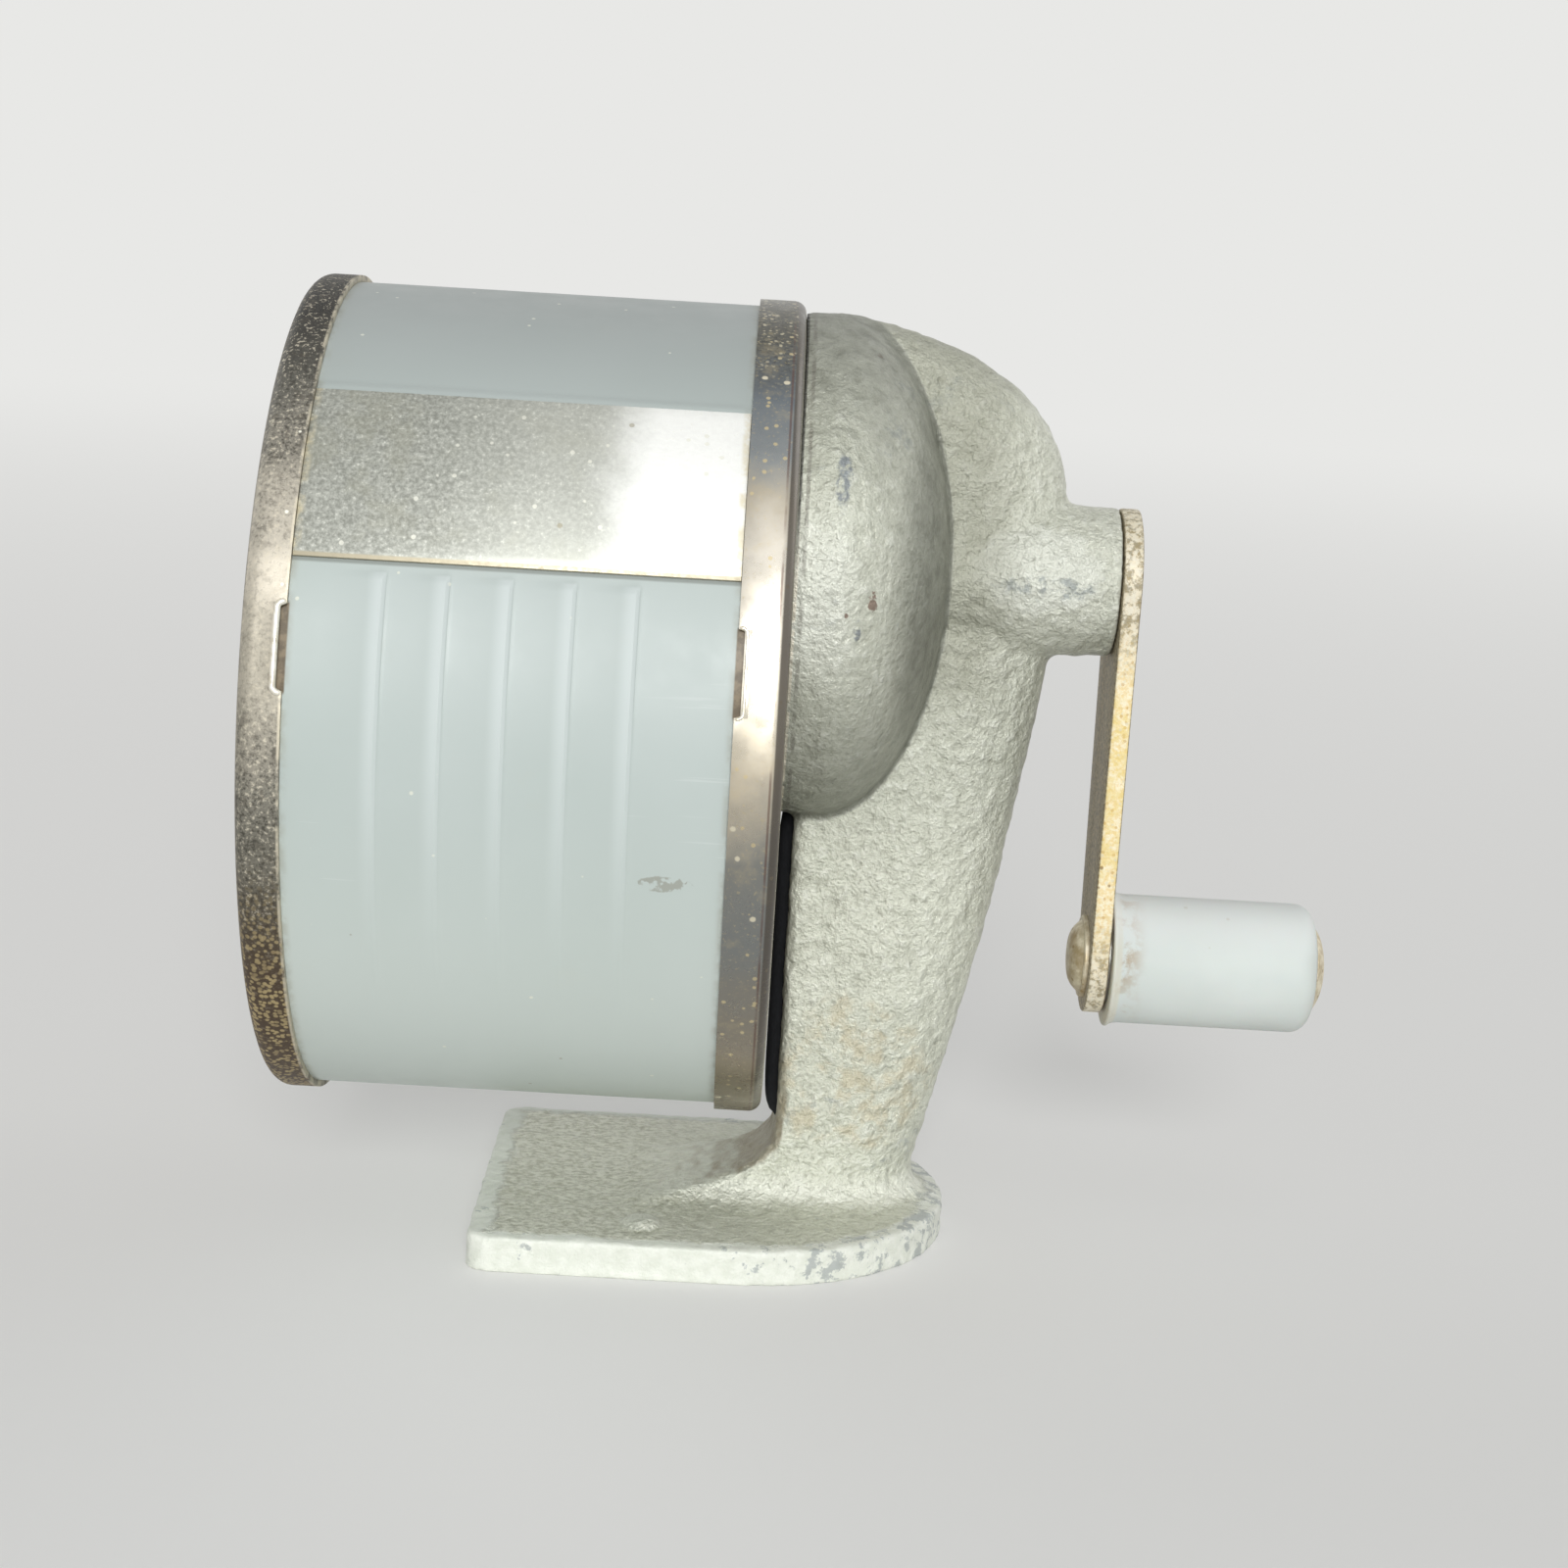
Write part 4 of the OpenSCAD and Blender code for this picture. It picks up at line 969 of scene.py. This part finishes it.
def shell():
    """The drum's shell, with its grip flutes and the small lip above the nameplate."""
    lip_full, lip_fall, lip_h = LIP_LOW + 0.34377, LIP_LOW + 0.68755, 0.16 * MM
    fade, steps, turns = 0.5 * MM, 10, 720
    lo, hi = shell_lo.x, shell_hi.x
    first, last = FLUTE_X[0] - FLUTE_PITCH, FLUTE_X[-1]
    stations = {edge + FLUTE_PITCH * (i / 30 - 1) for edge in FLUTE_X for i in range(33)}
    stations.update(lo + (first - lo) * i / steps for i in range(steps + 1))
    stations.update(last + (hi - last) * i / steps for i in range(1, steps + 1))
    xs = []
    for x in sorted(stations):
        if not xs or x - xs[-1] > 0.08 * MM:
            xs.append(x)

    verts, faces = [], []
    angles = [2 * math.pi * i / turns for i in range(turns)]
    sides = [math.degrees(math.asin(math.sin(a))) for a in angles]
    for x in xs:
        on = smoothstep(SKIRT_FRONT_X, SKIRT_FRONT_X + fade, x)
        on *= 1 - smoothstep(SKIRT_REAR_X - fade, SKIRT_REAR_X, x)
        for a, side in zip(angles, sides):
            lip = smoothstep(LIP_LOW, lip_full, side) * (1 - smoothstep(lip_fall, LIP_HIGH, side))
            r = SHELL_R + flute(x, side) + lip_h * lip * on
            verts.append((x, -r * math.cos(a), DRUM_Z + r * math.sin(a)))
    inner_r = SHELL_R - SHELL_WALL
    for x in (hi, lo):
        verts += [(x, -inner_r * math.cos(a), DRUM_Z + inner_r * math.sin(a)) for a in angles]
    rows = len(xs) + 2
    for k in range(rows):
        a, b = k * turns, ((k + 1) % rows) * turns
        for i in range(turns):
            j = (i + 1) % turns
            faces.append((a + i, b + i, b + j, a + j))
    obj = mesh_piece("shell_skin", verts, faces, 28)
    place(obj, "drum", SHELL, "shell_plastic", "drum_shell")


def beads(name, skirt_x, inward, tube):
    """Rolled metal around the three closed sides of a skirt's crimp notches."""
    sink, corner, depth = 0.12 * MM, 0.62 * MM, 0.90 * MM
    bend, straight, ring = 8, 8, 12
    middle = math.radians((CRIMP_LOW + CRIMP_HIGH) / 2)
    half = math.radians(CRIMP_HIGH - CRIMP_LOW) / 2 * CAP_R + 0.12 * MM
    path = [(0.05 * MM, half)]
    for i in range(bend + 1):
        t = math.radians(90 * i / bend)
        path.append((depth - corner + corner * math.sin(t), half - corner + corner * math.cos(t)))
    path += [(depth, (half - corner) * (1 - i / straight)) for i in range(1, straight + 1)]
    path += [(x, -along) for x, along in reversed(path[:-1])]
    last = len(path) - 1
    verts, faces = [], []
    for side in (-1, 1):
        start = len(verts)
        for k, (x, along) in enumerate(path):
            a, b = path[max(k - 1, 0)], path[min(k + 1, last)]
            length = math.hypot(b[0] - a[0], b[1] - a[1])
            across = ((b[1] - a[1]) / length, (a[0] - b[0]) / length)
            size = tube * (0.55 if k in (0, last) else 1.0)
            for i in range(ring):
                t = 2 * math.pi * i / ring
                px = skirt_x + inward * (x + across[0] * size * math.cos(t))
                turn = middle + (along + across[1] * size * math.cos(t)) / CAP_R
                r = CAP_R - sink + size * math.sin(t)
                verts.append((px, side * r * math.cos(turn), DRUM_Z + r * math.sin(turn)))
        for a in range(start, start + last * ring, ring):
            for i in range(ring):
                j = (i + 1) % ring
                faces.append((a + i, a + j, a + ring + j, a + ring + i))
        faces.append(tuple(range(start, start + ring)))
        faces.append(tuple(range(len(verts) - ring, len(verts))))
    place(mesh_piece(name, verts, faces, 50), "drum", BEAD, "cap_nickel")


def cap(node, name, material):
    """A cap with plain crimp notches; its raised lips are the separate beads."""
    obj = copy_of(node, name)
    bm = bmesh.new()
    bm.from_mesh(obj.data)
    for v in bm.verts:
        r = math.hypot(v.co.y, v.co.z - DRUM_Z)
        if r > CAP_R + 0.05 * MM:
            k = (CAP_R + 0.01 * MM) / r
            v.co = Vector((v.co.x, v.co.y * k, DRUM_Z + (v.co.z - DRUM_Z) * k))
    bm.to_mesh(obj.data)
    bm.free()
    round_edges(obj, 0.12 * MM, 2, 40, 32)
    place(obj, "drum", material, "cap_nickel", node)


# ---------------------------------------------------------------- crank

def knob():
    """Knob with a low lip and a recess at the arm, and a well rounded far end."""
    x0, x1 = knob_lo.x, knob_hi.x
    lip_r = (knob_hi.y - knob_lo.y) / 2
    body_r, bore, seat, recess = lip_r - 0.45 * MM, 2.15 * MM, 5.4 * MM, 0.6 * MM
    lip_round, end_round = 0.25 * MM, 2.1 * MM
    rows = [(x0 + recess, bore), (x0 + recess, seat), (x0, seat), (x0, lip_r - lip_round)]
    rows += arc(x0 + lip_round, lip_r - lip_round, lip_round, 180, 60, 4)
    for back, over in ((0.7, 0.18), (1.1, 0.05), (1.7, 0.0)):
        rows.append((x0 + back * MM, body_r + over * MM))
    rows += [(x0 + (x1 - x0) * t, body_r) for t in (0.3, 0.5, 0.7)]
    rows += arc(x1 - end_round, body_r - end_round, end_round, 90, 0, 12)
    rows += [(x1, bore + 0.3 * MM), (x1 - 0.2 * MM, bore)]
    place(lathe("knob_body", rows, KNOB_Z, 112), "knob", KNOB, "knob_plastic", "knob")


def rivet():
    """Knob rivet: stepped head inside the arm, shank, low crown seated on the knob's end."""
    head, inner, seat = spindle_lo.x, arm_lo.x, knob_hi.x + 0.05 * MM
    end, r = spindle_hi.x, (spindle_hi.y - spindle_lo.y) / 2
    button, step, shank, crown = 0.88 * r, 0.5 * MM, 2.1 * MM, 4.95 * MM
    rows = [(head + (inner - step - head) * (i / 12) ** 4, button * i / 12) for i in range(13)]
    rows += [(inner - step, r - 0.15 * MM), (inner - step + 0.15 * MM, r), (inner, r)]
    rows += [(inner, shank), (seat, shank), (seat, crown - 0.1 * MM), (seat + 0.06 * MM, crown)]
    rise = end - seat - 0.1 * MM
    rows += [(end - rise * (i / 14) ** 3, crown * i / 14) for i in range(14, -1, -1)]
    obj = lathe("knob_rivet", rows, KNOB_Z, 72, closed=False)
    place(obj, "crank", RIVET, "rivet_steel", "knob_spindle")


# ---------------------------------------------------------------- the pieces

casting()
column_gap_strip()
shell()
knob()
place(
    rounded("crank_arm", "arm_strip", 0.28 * MM, 3), "crank", ARM, "worn_steel", "crank_arm"
)
cap("front_cap", "cap_front", FRONT_NICKEL)
cap("rear_cap", "cap_rear", REAR_NICKEL)
beads("front_crimp_beads", SKIRT_FRONT_X, -1, 0.34 * MM)
beads("rear_crimp_beads", SKIRT_REAR_X, 1, 0.22 * MM)
place(rounded("size_dial", "dial_disc", 0.18 * MM), "dial", DIAL, "dial_nickel", "size_dial")
rivet()
place(
    rounded("dial_rivet", "dial_rivet_head", 0.12 * MM), "drum", RIVET, "rivet_steel", "dial_rivet"
)
place(
    rounded("nameplate", "plate_blank", 0.1 * MM), "drum", PLATE, "plate_aluminium", "nameplate"
)

for node, material in (
    ("lock_plate", DULL),
    ("plate_screws", ZINC),
    ("ring_gear", GEAR),
    ("crank_shaft", GEAR),
    ("cutter_carrier", CARRIER),
    ("carrier_screw", ZINC),
    ("thrust_washer", BRASS),
    ("cutter_pin_1", GEAR),
    ("cutter_pin_2", GEAR),
    ("cutter_washers", BRASS),
    ("knob_washer", ZINC),
    ("cutter_1", CUTTER),
    ("cutter_2", CUTTER),
    ("dial_washer", ZINC),
    ("detent_spring", SPRING),
):
    dress(node, material)


# ---------------------------------------------------------------- stage, light and camera

PALE = (232, 232, 230)
SEEN_BY = ("Is Camera Ray", "Is Glossy Ray", "Is Transmission Ray")


def floor():
    """Pale floor that fades into the backdrop's colour far behind the object."""
    corners = [(-60, -60, 0), (60, -60, 0), (60, 60, 0), (-60, 60, 0)]
    obj = mesh_piece("floor", corners, [(0, 1, 2, 3)], outward=False)
    f = Finish("floor_paper")
    f.colour = f.mix(f.noise(3, 2, 0.5), (238, 238, 236), (241, 241, 239))
    path = f.tree.nodes.new("ShaderNodeLightPath")
    seen = f.either(*(path.outputs[kind] for kind in SEEN_BY))
    far = f.remap(f.length(f.x, f.y), 0.1, 1.5, 0.35, 1.0)
    glow = f.tree.nodes.new("ShaderNodeEmission")
    glow.inputs[0].default_value = rgb(*PALE)
    blend = f.tree.nodes.new("ShaderNodeMixShader")
    f.tree.links.new(f.mul(far, seen), blend.inputs[0])
    f.tree.links.new(f.bsdf.outputs[0], blend.inputs[1])
    f.tree.links.new(glow.outputs[0], blend.inputs[2])
    f.tree.links.new(blend.outputs[0], f.out.inputs[0])
    obj.data.materials.append(f.done(Roughness=0.8))


def world():
    """Soft white light from all round, behind which a pale backdrop is seen."""
    w = bpy.data.worlds.new("studio")
    scene.world = w
    w.use_nodes = True
    t = w.node_tree
    t.nodes.clear()
    path = t.nodes.new("ShaderNodeLightPath")
    seen = path.outputs[SEEN_BY[0]]
    for kind in SEEN_BY[1:]:
        larger = t.nodes.new("ShaderNodeMath")
        larger.operation = "MAXIMUM"
        t.links.new(seen, larger.inputs[0])
        t.links.new(path.outputs[kind], larger.inputs[1])
        seen = larger.outputs[0]
    mix = t.nodes.new("ShaderNodeMixShader")
    t.links.new(seen, mix.inputs[0])
    for i, colour, strength in ((1, (1, 1, 1, 1), 0.24), (2, rgb(*PALE), 1.0)):
        background = t.nodes.new("ShaderNodeBackground")
        background.inputs[0].default_value = colour
        background.inputs[1].default_value = strength
        t.links.new(background.outputs[0], mix.inputs[i])
    out = t.nodes.new("ShaderNodeOutputWorld")
    t.links.new(mix.outputs[0], out.inputs[0])


def soft_sun(name, towards, angle, strength):
    data = bpy.data.lights.new(name, "SUN")
    data.angle = math.radians(angle)
    data.energy = strength
    obj = link(bpy.data.objects.new(name, data))
    obj.rotation_mode = "QUATERNION"
    obj.rotation_quaternion = Vector(towards).to_track_quat("Z", "Y")


def camera():
    """The photograph's view: place in millimetres, then pitch, yaw and roll in degrees."""
    place_mm = (1.76, -308.51, 109.98)
    pitch, yaw, roll = (math.radians(a) for a in (11.00, 0.64, 3.44))
    level = math.cos(pitch)
    forward = Vector((math.sin(yaw) * level, math.cos(yaw) * level, -math.sin(pitch)))
    right = Vector((math.cos(yaw), -math.sin(yaw), 0))
    up = right.cross(forward)
    side = math.cos(roll) * right + math.sin(roll) * up
    top = -math.sin(roll) * right + math.cos(roll) * up
    data = bpy.data.cameras.new("camera")
    data.sensor_width = 36
    data.lens = 65.19
    data.clip_start, data.clip_end = 0.01, 200
    obj = link(bpy.data.objects.new("camera", data))
    basis = Matrix((side, top, -forward)).transposed()
    obj.matrix_world = Matrix.Translation([v * MM for v in place_mm]) @ basis.to_4x4()
    scene.camera = obj


floor()
world()
soft_sun("key", (0.06, -0.925, 0.375), 20, 2.1)
soft_sun("top", (0.05, -0.50, 0.86), 30, 0.10)
soft_sun("back_left", (-0.80, 0.50, 0.45), 35, 0.30)
soft_sun("back_right", (0.80, 0.55, 0.50), 35, 0.30)
camera()
scene.view_settings.view_transform = "Standard"
